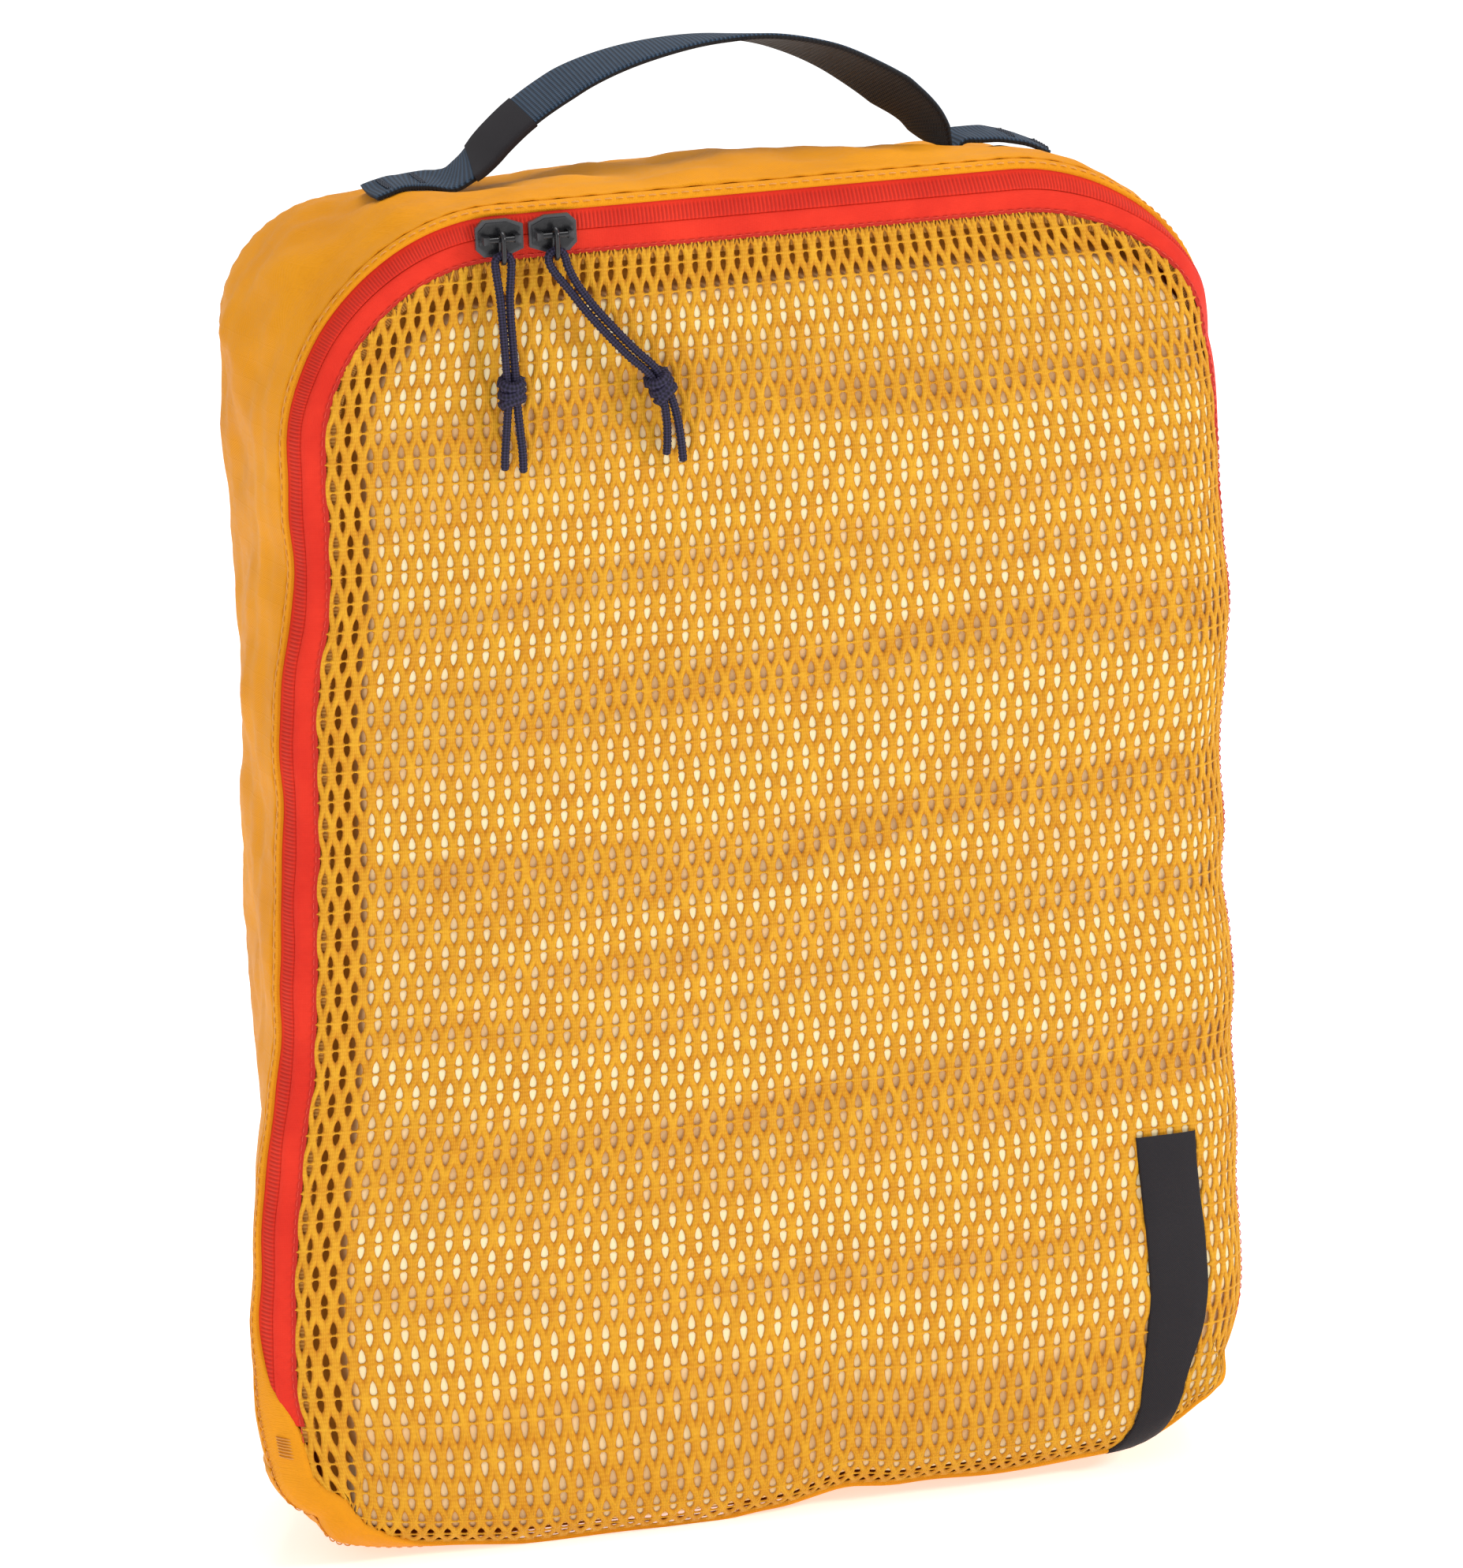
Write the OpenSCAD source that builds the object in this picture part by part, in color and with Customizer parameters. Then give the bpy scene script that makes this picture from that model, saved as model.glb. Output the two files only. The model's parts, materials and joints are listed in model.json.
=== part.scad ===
// Packing cube with a zipped mesh flap, two cord pulls and a webbing handle.
// Origin: centre of the flat base. X runs across the front, the mesh faces -Y, Z is up. Millimetres.

/* [Cube] */
// Width across the front
cube_w = 255; // [220:1:320]
// Height from the floor to the top panel
cube_h = 360; // [300:1:420]
// Depth from front to back
cube_d = 80; // [70:1:120]
// Radius of the two top corners
top_r = 60; // [50:1:70]
// Radius of the two bottom corners
base_r = 30; // [26:1:40]
// Thickness of the cloth panels
cloth_t = 1; // [0.8:0.1:1.5]
// How far the mesh stands out over what is packed behind it
net_crown = 4; // [2:0.5:4]

/* [Zip] */
// Height of the zip's two lower ends, where the flap folds
fold_z = 34; // [31:1:45]
// Width of the cloth border between the edge and the zip
border_w = 9; // [8:0.5:9]
// Distance from the cube's edge to the middle of the zip
zip_inset = 14.5; // [14:0.5:15]
// Width of one zip tape, half of it under the border or the mesh
tape_w = 7.8; // [6:0.1:8]
// Gap between the two rows of coil
zip_gap = 1.4; // [1.2:0.1:1.6]
// Length of a slider along the zip
slider_l = 12.5; // [10:0.5:13]
// Distance between the two sliders
slider_pitch = 14; // [13.5:0.5:20]

/* [Pulls] */
// Thickness of the pull cord
cord_d = 2; // [1.6:0.1:2]
// Thickness of the ring's wire
ring_wire = 1.3; // [1:0.1:1.4]
// Height of the overhand knot
knot_h = 9.4; // [8:0.2:10]

/* [Handle] */
// Width of the webbing
web_w = 20; // [18:1:25]
// Thickness of the webbing
web_t = 1.6; // [1.2:0.1:2]
// Radius of the handle's arch
arch_r = 80; // [76:1:90]
// Height of the arch above the feet
arch_h = 39.5; // [30:0.5:45]
// Length of a sewn foot
foot_l = 28; // [24:1:32]

/* [Labels] */
// Width of the woven label on the mesh
label_w = 15; // [12:1:20]
// Height of the label's top end above the floor
label_top = 95; // [70:1:110]
// Thickness of the woven labels
label_t = 0.6; // [0.4:0.1:0.8]

/* [Hidden] */
$fn = 32;

cloth = "#eca51e";
mesh_yellow = "#ebaa32";
zip_red = "#eb3c23";
navy = "#2d415f";
black = "#2d282d";

front_y = -cube_d / 2;
back_y = cube_d / 2;
border_back_y = front_y + cloth_t;
tape_t = 0.8;
tape_back_y = border_back_y + tape_t;
coil_w = 1.6;
coil_t = 1.4;
binding_w = 3;
outer_edge = zip_inset - zip_gap / 2;
inner_edge = zip_inset + zip_gap / 2;
net_inset = inner_edge + 5.8;
net_front_y = front_y + 0.2;
crown_run = 45;
fold_gap = 0.6;

slider_z = cube_h - zip_inset;
left_x = -cube_w / 2 + top_r;
right_x = left_x + slider_pitch;
slider_w = 9.6;
slider_front_y = front_y - 1.9;
bar_y = front_y - 4.9;
bar_r = 0.7;
ring_r = 1.8;
ring_top = bar_r + ring_wire / 2 + 0.3;
ring_drop = 6;

foot_top = cube_h + web_t;
arch_z = foot_top + arch_h - arch_r;
swing_z = foot_top + 4.4;
foot_out_x = sqrt(pow(arch_r, 2) - pow(foot_top - arch_z, 2)) + 22;

// Routes of the four cord strands: round numbers, from the top of the loop in the ring to the tip
cord_left_a_route = [[-67.5, -44.9, 341.6], [-69, -44.9, 341], [-69.6, -44.9, 339.5],
    [-69.4, -45, 336.5], [-68.8, -45.2, 331], [-68.6, -45.8, 325], [-68.6, -46.8, 319],
    [-68.6, -47.8, 313], [-68.6, -48.3, 308], [-68.8, -48.3, 302], [-69.4, -48.2, 296],
    [-70, -48.1, 290], [-70.2, -48, 286]];
cord_left_b_route = [[-67.5, -44.9, 341.6], [-66, -44.9, 341], [-65.4, -44.9, 339.5],
    [-65.6, -45, 336.5], [-66.2, -45.2, 331], [-66.4, -45.8, 325], [-66.4, -46.8, 319],
    [-66.4, -47.8, 313], [-66.4, -48.3, 308], [-66.2, -48.3, 302], [-65.8, -48.2, 296],
    [-65.4, -48.1, 290], [-65.4, -48, 285]];
cord_right_a_route = [[-53.5, -44.9, 341.6], [-55, -44.9, 341], [-55.6, -44.9, 339.5],
    [-54.6, -45, 336.5], [-50.6, -45.2, 331], [-46.4, -45.8, 325], [-41.6, -46.6, 319],
    [-36.4, -47.6, 313], [-31.4, -48.3, 308], [-28.2, -48.3, 302], [-27.2, -48.2, 296],
    [-27.2, -48.1, 290], [-27.6, -48, 286]];
cord_right_b_route = [[-53.5, -44.9, 341.6], [-52, -44.9, 341], [-51.2, -44.9, 339.5],
    [-50.6, -45, 337], [-48.6, -45.2, 332.6], [-44.6, -45.8, 326.5], [-39.8, -46.6, 320.5],
    [-34.7, -47.6, 314.6], [-29.4, -48.3, 309], [-26, -48.3, 302], [-24.4, -48.2, 296],
    [-23.6, -48.1, 290], [-23.2, -48, 284]];
knot_left_at = [-67.5, -48.3, 306.5];
knot_right_at = [-28.2, -48.3, 304.5];
knot_right_lean = 26;

// One quarter of a round corner, as points
function corner(x, z, r, from) =
    [for (k = [0:12]) [x + r * cos(from + 7.5 * k), z + r * sin(from + 7.5 * k)]];

// The front's outline, drawn the given distance inside the cube's edge
function outline(inset) =
    let (tx = cube_w / 2 - top_r, rt = top_r - inset, rb = max(base_r - inset, 1),
        bz = inset + rb, dx = cube_w / 2 - inset - rb)
    concat(corner(tx, cube_h - top_r, rt, 0), corner(-tx, cube_h - top_r, rt, 90),
        corner(-dx, bz, rb, 180), corner(dx, bz, rb, 270));

// Stands a flat drawing up between two depths
module upright(y0, y1) {
    translate([0, y1, 0]) rotate([90, 0, 0]) linear_extrude(y1 - y0) children();
}

// Everything above or below a height, as a flat drawing
module above(z) {
    translate([-cube_w, z]) square([2 * cube_w, 2 * cube_h]);
}

module below(z) {
    translate([-cube_w, z - 2 * cube_h]) square([2 * cube_w, 2 * cube_h]);
}

// A band that follows the outline, between two insets
module band(outside, inside) {
    difference() {
        polygon(outline(outside));
        polygon(outline(inside));
    }
}

module zip_band(outside, inside, y0, y1) {
    upright(y0, y1) intersection() {
        band(outside, inside);
        above(fold_z);
    }
}

// The flap's mesh as a solid slab, flat at its edges and crowned over its middle, moved along Y
module crowned_slab(shift) {
    translate([0, shift, 0]) hull() {
        upright(net_front_y, net_front_y + 1) intersection() {
            polygon(outline(net_inset));
            above(fold_z + fold_gap);
        }
        upright(net_front_y - net_crown, net_front_y) intersection() {
            polygon(outline(net_inset + crown_run));
            above(fold_z + crown_run);
        }
    }
}

module back_panel() {
    color(cloth) upright(back_y - cloth_t, back_y) polygon(outline(0));
}

module gusset(part_z0, part_z1) {
    upright(border_back_y, back_y - cloth_t) intersection() {
        band(0, cloth_t);
        above(part_z0);
        below(part_z1);
    }
}

module side_gusset() {
    color(cloth) gusset(fold_z, cube_h);
}

module base_gusset() {
    color(cloth) gusset(0, fold_z);
}

module front_border() {
    color(cloth) zip_band(0, border_w, front_y, border_back_y);
}

module base_border() {
    color(cloth) upright(front_y, border_back_y) intersection() {
        band(0, border_w);
        below(fold_z);
    }
}

// Bound seam allowance inside the cube, all the way round
module front_seam_binding() {
    color(cloth) upright(border_back_y, border_back_y + cloth_t) band(cloth_t, cloth_t + binding_w);
}

module back_seam_binding() {
    color(cloth) upright(back_y - 2 * cloth_t, back_y - cloth_t) band(cloth_t, cloth_t + binding_w);
}

// The strip of mesh below the fold, sewn into the border
module base_net() {
    color(mesh_yellow) upright(net_front_y, border_back_y) intersection() {
        polygon(outline(border_w));
        below(fold_z);
    }
}

module zip_tape_outer() {
    color(zip_red) zip_band(outer_edge - tape_w, outer_edge, border_back_y, tape_back_y);
}

module zip_coil_outer() {
    color(zip_red) zip_band(outer_edge - coil_w, outer_edge, tape_back_y, tape_back_y + coil_t);
}

// Dense stitches that close the zip's two lower ends
module zip_bartacks() {
    for (side = [-1, 1])
        color(zip_red) translate([side * (cube_w / 2 - outer_edge + 2), 0, fold_z + 1])
            translate([-2, front_y + 0.5, 0]) cube([4, cloth_t - 0.5, 2]);
}

module label_rectangle(z0, z1) {
    translate([cube_w / 2 - net_inset - 1.5 - label_w, z0]) square([label_w, z1 - z0]);
}

module label_lower() {
    color(black) upright(front_y - label_t, front_y) label_rectangle(0.5, fold_z - 0.4);
}

module label_upper() {
    color(black) intersection() {
        difference() {
            crowned_slab(-label_t);
            crowned_slab(0);
        }
        upright(front_y - 2 * net_crown, net_front_y) label_rectangle(fold_z + fold_gap + 0.1, label_top);
    }
}

// A care label caught in the inside seam, lying on the back panel
module care_label() {
    color("white") translate([-cube_w / 2 + cloth_t, back_y - 2 * cloth_t - label_t, 60])
        cube([28, label_t, 24]);
}

// A second layer of cloth behind the handle's feet, following the top panel inside
module handle_patch() {
    color(cloth) upright(-web_w / 2 - 4, web_w / 2 + 4) intersection() {
        band(cloth_t, 2 * cloth_t);
        translate([-foot_out_x - 4, cube_h - top_r]) square([2 * foot_out_x + 8, top_r]);
    }
}

// The arch of webbing between two angles, thickened by a margin
module arch(from, to, margin) {
    translate([0, 0, arch_z]) rotate([90, 0, 0]) rotate([0, 0, from]) rotate_extrude(angle = to - from, $fn = 96)
        translate([arch_r - web_t - margin, -web_w / 2 - margin]) square([web_t + 2 * margin, web_w + 2 * margin]);
}

// The space under a V across the webbing, from the swing axis down
module vee(point_z, slope) {
    rotate([90, 0, 90]) translate([0, 0, -2 * arch_r]) linear_extrude(4 * arch_r)
        polygon([[-web_w, -1], [web_w, -1], [web_w, point_z + web_w * tan(slope)], [0, point_z],
            [-web_w, point_z + web_w * tan(slope)]]);
}

// A foot laid flat outwards, with the short stiff stub that turns up into the arch
module handle_foot(side) {
    color(navy) translate([side > 0 ? foot_out_x - foot_l : -foot_out_x, -web_w / 2, cube_h])
        cube([foot_l, web_w, web_t]);
    color(navy) intersection() {
        arch(side > 0 ? 26 : 90, side > 0 ? 90 : 154, 0);
        vee(swing_z - 0.4, -18);
        translate([-2 * arch_r, -web_w, foot_top - 0.5]) cube([4 * arch_r, 2 * web_w, web_w]);
    }
}

module handle_foot_left() {
    handle_foot(-1);
}

module handle_foot_right() {
    handle_foot(1);
}

// Two dense rows of stitches across each foot
module handle_bartacks() {
    for (side = [-1, 1], row = [3, 12])
        color(black) translate([side * (foot_out_x - row) - 1, -web_w / 2 + 2, foot_top])
            cube([2, web_w - 4, 0.5]);
}

module handle_strap() {
    color(navy) difference() {
        arch(28, 152, 0);
        vee(swing_z, 42);
    }
}

// A woven size label wrapped round one leg of the handle
module handle_label() {
    color(black) difference() {
        arch(130, 144, label_t + 0.05);
        arch(128, 146, 0.05);
        vee(swing_z, 42);
    }
}

module window_net() {
    color(mesh_yellow) difference() {
        crowned_slab(0);
        crowned_slab(1);
    }
}

module flap_band(outside, inside, y0, y1) {
    upright(y0, y1) intersection() {
        band(outside, inside);
        above(fold_z + fold_gap);
    }
}

// The tape that binds the mesh to the zip on the inside
module net_binding() {
    color(cloth) flap_band(net_inset - 1, net_inset + binding_w, tape_back_y, tape_back_y + 0.6);
}

module zip_tape_inner() {
    color(zip_red) flap_band(inner_edge, inner_edge + tape_w, border_back_y + 0.2, tape_back_y);
}

module zip_coil_inner() {
    color(zip_red) flap_band(inner_edge, inner_edge + coil_w, tape_back_y, tape_back_y + coil_t);
}

// A plate of the slider: wide at the mouth, narrow at the nose
module slider_plate(grow) {
    half_l = slider_l / 2 + grow;
    half_w = slider_w / 2 + grow;
    polygon([[-half_l, 2 - half_w], [2 - half_l, -half_w], [2, -half_w], [half_l, 1.6 - half_w],
        [half_l, half_w - 1.6], [2, half_w], [2 - half_l, half_w], [-half_l, half_w - 2]]);
}

// A slider with its two plates, the post between the coils, and the bridge that the ring hangs from
module slider(x, nose) {
    post_w = zip_gap / 2;
    color(black) translate([x, 0, slider_z]) mirror([nose < 0 ? 1 : 0, 0, 0]) {
        upright(slider_front_y, front_y - 0.6) slider_plate(0);
        upright(slider_front_y - 0.35, slider_front_y) slider_plate(-0.8);
        upright(tape_back_y + coil_t + 0.4, tape_back_y + coil_t + 1.4) slider_plate(0);
        translate([-2, front_y - 0.7, -post_w / 2]) cube([4, tape_back_y + coil_t + 0.5 - front_y + 0.7, post_w]);
        for (end = [-1, 1])
            translate([end * 4.1 - 0.8, bar_y - bar_r, -1]) cube([1.6, slider_front_y - bar_y + bar_r, 2]);
        translate([-4.1, bar_y, 0]) rotate([0, 90, 0]) cylinder(r = bar_r, h = 8.2);
    }
}

module slider_left() {
    slider(left_x, 1);
}

module slider_right() {
    slider(right_x, -1);
}

// Half of the ring's round end, bulging up or down
module ring_end(up) {
    rotate([0, 0, up > 0 ? 0 : 180]) rotate_extrude(angle = 180)
        translate([ring_r, 0]) circle(d = ring_wire);
}

// A wire ring hung on a slider's bridge
module pull_ring(x) {
    top_z = ring_top - ring_r;
    low_z = ring_r - ring_drop;
    color(black) translate([x, bar_y, slider_z]) {
        translate([0, 0, top_z]) rotate([90, 0, 90]) ring_end(1);
        translate([0, 0, low_z]) rotate([90, 0, 90]) ring_end(-1);
        for (side = [-1, 1])
            translate([0, side * ring_r, low_z]) cylinder(d = ring_wire, h = top_z - low_z);
    }
}

module pull_ring_left() {
    pull_ring(left_x);
}

module pull_ring_right() {
    pull_ring(right_x);
}

function unit(v) = v / norm(v);

// Direction of travel at each point of a route
function heading(route, k) =
    unit(route[min(k + 1, len(route) - 1)] - route[max(k - 1, 0)]);

// Sweeps an eight-sided tube along a route that keeps clear of the Y direction
module cord(route, d) {
    sides = 8;
    rings = len(route);
    points = [for (k = [0:rings - 1]) let (t = heading(route, k), u = unit(cross(t, [0, 1, 0])), v = cross(t, u))
        for (s = [0:sides - 1]) route[k] + d / 2 * (cos(360 * s / sides) * u + sin(360 * s / sides) * v)];
    walls = [for (k = [0:rings - 2], s = [0:sides - 1])
        [k * sides + s, (k + 1) * sides + s, (k + 1) * sides + (s + 1) % sides, k * sides + (s + 1) % sides]];
    caps = [[for (s = [0:sides - 1]) s], [for (s = [sides - 1:-1:0]) (rings - 1) * sides + s]];
    color(navy) polyhedron(points, concat(walls, caps), convexity = 4);
}

module cord_left_a() {
    cord(cord_left_a_route, cord_d);
}

module cord_left_b() {
    cord(cord_left_b_route, cord_d);
}

module cord_right_a() {
    cord(cord_right_a_route, cord_d);
}

module cord_right_b() {
    cord(cord_right_b_route, cord_d);
}

// An overhand knot as two fat turns of cord
module knot(at, lean) {
    turn = 1.95;
    color(navy) translate(at) rotate([0, -lean, 0]) {
        for (side = [-1, 1])
            translate([0, 0, side * (knot_h / 2 - turn)]) rotate_extrude()
                translate([2.2, 0]) circle(r = turn);
        translate([0, 0, turn - knot_h / 2]) cylinder(r = 2.6, h = knot_h - 2 * turn);
    }
}

module knot_left() {
    knot(knot_left_at, 0);
}

module knot_right() {
    knot(knot_right_at, knot_right_lean);
}

back_panel();
side_gusset();
base_gusset();
front_border();
base_border();
front_seam_binding();
back_seam_binding();
base_net();
zip_tape_outer();
zip_coil_outer();
zip_bartacks();
label_lower();
care_label();
handle_patch();
handle_foot_left();
handle_foot_right();
handle_bartacks();
window_net();
net_binding();
zip_tape_inner();
zip_coil_inner();
label_upper();
slider_left();
slider_right();
pull_ring_left();
pull_ring_right();
cord_left_a();
cord_left_b();
cord_right_a();
cord_right_b();
knot_left();
knot_right();
handle_strap();
handle_label();
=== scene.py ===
import json
import math

import bmesh
import bpy
import numpy as np
from mathutils import Matrix, Vector
from mathutils.bvhtree import BVHTree

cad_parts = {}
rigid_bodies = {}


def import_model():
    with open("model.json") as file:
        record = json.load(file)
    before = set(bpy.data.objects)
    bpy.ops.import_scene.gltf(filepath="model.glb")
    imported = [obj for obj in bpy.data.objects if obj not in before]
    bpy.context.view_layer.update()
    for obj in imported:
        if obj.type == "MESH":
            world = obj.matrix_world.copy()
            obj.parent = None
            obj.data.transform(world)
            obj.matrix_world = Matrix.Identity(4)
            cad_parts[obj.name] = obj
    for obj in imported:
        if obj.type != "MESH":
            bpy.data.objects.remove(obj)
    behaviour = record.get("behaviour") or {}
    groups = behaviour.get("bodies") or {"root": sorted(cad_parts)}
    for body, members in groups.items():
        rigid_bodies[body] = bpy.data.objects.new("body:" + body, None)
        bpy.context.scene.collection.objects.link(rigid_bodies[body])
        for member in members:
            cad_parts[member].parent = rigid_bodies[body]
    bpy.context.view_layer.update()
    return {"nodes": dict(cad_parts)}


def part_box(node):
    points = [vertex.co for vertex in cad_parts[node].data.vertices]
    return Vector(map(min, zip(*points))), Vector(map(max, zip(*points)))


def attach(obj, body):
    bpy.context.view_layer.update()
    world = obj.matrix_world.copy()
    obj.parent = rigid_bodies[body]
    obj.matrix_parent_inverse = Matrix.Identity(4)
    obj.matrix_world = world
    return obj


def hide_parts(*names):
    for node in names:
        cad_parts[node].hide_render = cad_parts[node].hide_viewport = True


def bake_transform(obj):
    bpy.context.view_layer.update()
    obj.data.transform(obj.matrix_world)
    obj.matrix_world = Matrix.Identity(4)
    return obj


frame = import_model()
scene = bpy.context.scene


# Camera, floor and lights: a packed cube seen a little from its left and from above, on a pale
# seamless floor, under one soft light from the upper right, a weak fill and one light from above.
cube_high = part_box("back_panel")[1]
half_w = float(cube_high[0]) * 1000
cube_h = float(cube_high[2]) * 1000
front_y = float(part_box("front_border")[0][1]) * 1000
back_y = float(cube_high[1]) * 1000
view_turn, view_rise, view_lean = math.radians(-14), math.radians(15), math.radians(2.3)
back = Vector((math.sin(view_turn) * math.cos(view_rise), -math.cos(view_turn) * math.cos(view_rise),
               math.sin(view_rise)))
right = Vector((0, 0, 1)).cross(back).normalized()
up = back.cross(right)
right_l = right * math.cos(view_lean) - up * math.sin(view_lean)
up_l = right * math.sin(view_lean) + up * math.cos(view_lean)
view_far = 2.6
aim = Vector((0, 0, 0.18)) - right_l * 0.0020 + up_l * 0.0036
eye = bpy.data.cameras.new("eye")
eye.sensor_fit = "VERTICAL"
eye.sensor_height = 24
eye.lens = 150.302
eye.clip_end = 20
camera = bpy.data.objects.new("camera", eye)
turned = Matrix((right_l, up_l, back)).transposed().to_4x4()
camera.matrix_world = Matrix.Translation(aim + back * view_far) @ turned
scene.collection.objects.link(camera)
scene.camera = camera

world = bpy.data.worlds.new("studio")
world.use_nodes = True
world.node_tree.nodes["Background"].inputs[0].default_value = (1, 1, 1, 1)
world.node_tree.nodes["Background"].inputs[1].default_value = 0.60
scene.world = world
scene.view_settings.view_transform = "Standard"


def soft_light(name, place, look_at, size, power, colour):
    lamp = bpy.data.lights.new(name, "AREA")
    lamp.shape = "RECTANGLE"
    lamp.size, lamp.size_y = size
    lamp.energy = power
    lamp.color = colour
    holder = bpy.data.objects.new(name, lamp)
    holder.location = place
    holder.rotation_euler = (Vector(look_at) - Vector(place)).to_track_quat("-Z", "Y").to_euler()
    scene.collection.objects.link(holder)


soft_light("key", (1.7, -1.3, 1.25), (0, 0, 0.2), (0.42, 0.42), 25, (1, 0.98, 0.95))
soft_light("fill", (-1.5, -1.4, 0.6), (0, 0, 0.2), (1.2, 1.2), 9, (1, 1, 1))
soft_light("top", (0.2, 0.3, 1.7), (0, 0, 0.3), (1.0, 0.7), 12, (1, 1, 1))

floor_z = -0.0088
floor_mesh = bpy.data.meshes.new("floor")
floor_corners = [(x, y, floor_z) for x, y in ((-4, -4), (4, -4), (4, 4), (-4, 4))]
floor_mesh.from_pydata(floor_corners, [], [(0, 1, 2, 3)])
floor = bpy.data.objects.new("floor", floor_mesh)
floor_paint = bpy.data.materials.new("floor_paint")
floor_paint.use_nodes = True
for socket, value in (("Base Color", (0.95, 0.95, 0.95, 1)), ("Roughness", 0.9),
                      ("Emission Color", (1, 1, 1, 1)), ("Emission Strength", 0.5)):
    floor_paint.node_tree.nodes["Principled BSDF"].inputs[socket].default_value = value
floor_mesh.materials.append(floor_paint)
scene.collection.objects.link(floor)


# Pull cords: fine braided cord, 2 mm thick, doubled through each ring and knotted once, with two
# free ends of about 20 mm. Each strand is one curve on the route that its solid has.
class Wire:
    """One socket in a finish, so that the sums in it read as sums."""

    def __init__(self, finish, socket):
        self.finish = finish
        self.socket = socket

    def sum(self, operation, first, second):
        return self.finish.node("ShaderNodeMath", {"operation": operation}, {0: first, 1: second})

    def __add__(self, other):
        return self.sum("ADD", self, other)

    def __sub__(self, other):
        return self.sum("SUBTRACT", self, other)

    def __mul__(self, other):
        return self.sum("MULTIPLY", self, other)

    def __rsub__(self, other):
        return self.sum("SUBTRACT", other, self)

    def __abs__(self):
        return self.sum("ABSOLUTE", self, 0)

    def wave(self):
        return self.sum("SINE", self, 0)

    def most(self, other):
        return self.sum("MAXIMUM", self, other)


class Finish:
    """A material with one Principled surface, made node by node."""

    def __init__(self, name, colour, roughness, **fixed):
        self.material = bpy.data.materials.new(name)
        self.material.use_nodes = True
        self.tree = self.material.node_tree
        self.surface = self.tree.nodes["Principled BSDF"]
        self.surface.inputs["Base Color"].default_value = (*colour, 1)
        self.surface.inputs["Roughness"].default_value = roughness
        self.material.diffuse_color = (*colour, 1)
        for socket, value in fixed.items():
            self.surface.inputs[socket.replace("_", " ")].default_value = value

    def node(self, kind, settings, sockets, out=0):
        made = self.tree.nodes.new(kind)
        for key, value in settings.items():
            setattr(made, key, value)
        for key, value in sockets.items():
            if isinstance(value, Wire):
                self.tree.links.new(value.socket, made.inputs[key])
            else:
                made.inputs[key].default_value = value
        return Wire(self, made.outputs[out])

    def lay(self):
        """Distance along and across the piece, in millimetres."""
        flat = self.node("ShaderNodeUVMap", {"uv_map": "lay"}, {})
        split = self.node("ShaderNodeSeparateXYZ", {}, {0: flat})
        across = Wire(self, split.socket.node.outputs[1])
        return split * 1000, across * 1000

    def place(self):
        return self.node("ShaderNodeTexCoord", {}, {}, 3)

    def noise(self, vector, scale, detail=3.0, roughness=0.55, distortion=0.0):
        return self.node("ShaderNodeTexNoise", {}, {"Vector": vector, "Scale": scale, "Detail": detail,
                                                    "Roughness": roughness, "Distortion": distortion})

    def mix(self, factor, first, second):
        first = first if isinstance(first, Wire) else (*first, 1)
        second = second if isinstance(second, Wire) else (*second, 1)
        return self.node("ShaderNodeMix", {"data_type": "RGBA"}, {0: factor, 6: first, 7: second}, 2)

    def stretch(self, value, low, high, to_low=0.0, to_high=1.0):
        sockets = {0: value, 1: low, 2: high, 3: to_low, 4: to_high}
        return self.node("ShaderNodeMapRange", {"clamp": True}, sockets)

    def colour(self, wire):
        self.tree.links.new(wire.socket, self.surface.inputs["Base Color"])

    def rough(self, wire):
        self.tree.links.new(wire.socket, self.surface.inputs["Roughness"])

    def bump(self, height, distance, strength=1.0):
        made = self.node("ShaderNodeBump", {}, {"Height": height, "Distance": distance, "Strength": strength})
        self.tree.links.new(made.socket, self.surface.inputs["Normal"])


def grid_mesh(name, points, lay=None, closed=False, finish=None):
    """A sheet of quads through rows of points, in millimetres, with its lay as a UV map."""
    points = np.asarray(points, float)
    rows, columns = points.shape[:2]
    mesh = bpy.data.meshes.new(name)
    wide = columns if closed else columns - 1
    i, j = np.meshgrid(np.arange(rows - 1), np.arange(wide), indexing="ij")
    i, j = i.ravel(), j.ravel()
    k = (j + 1) % columns
    faces = np.stack([i * columns + j, i * columns + k, (i + 1) * columns + k, (i + 1) * columns + j], 1)
    mesh.from_pydata((points.reshape(-1, 3) * 0.001).tolist(), [], faces.tolist())
    if lay is not None:
        lay = np.asarray(lay, float)
        along = np.stack([lay[i, j], lay[i, j + 1], lay[i + 1, j + 1], lay[i + 1, j]], 1)
        layer = mesh.uv_layers.new(name="lay")
        layer.data.foreach_set("uv", (along.reshape(-1, 2) * 0.001).ravel())
    mesh.shade_smooth()
    made = bpy.data.objects.new(name, mesh)
    scene.collection.objects.link(made)
    mesh.materials.append(finish.material)
    return made


def close_ends(made, turn_out=False):
    """Fills the open ends of a tube."""
    filled = bmesh.new()
    filled.from_mesh(made.data)
    bmesh.ops.holes_fill(filled, edges=[e for e in filled.edges if e.is_boundary])
    if turn_out:
        bmesh.ops.recalc_face_normals(filled, faces=filled.faces)
    filled.to_mesh(made.data)
    filled.free()


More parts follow.
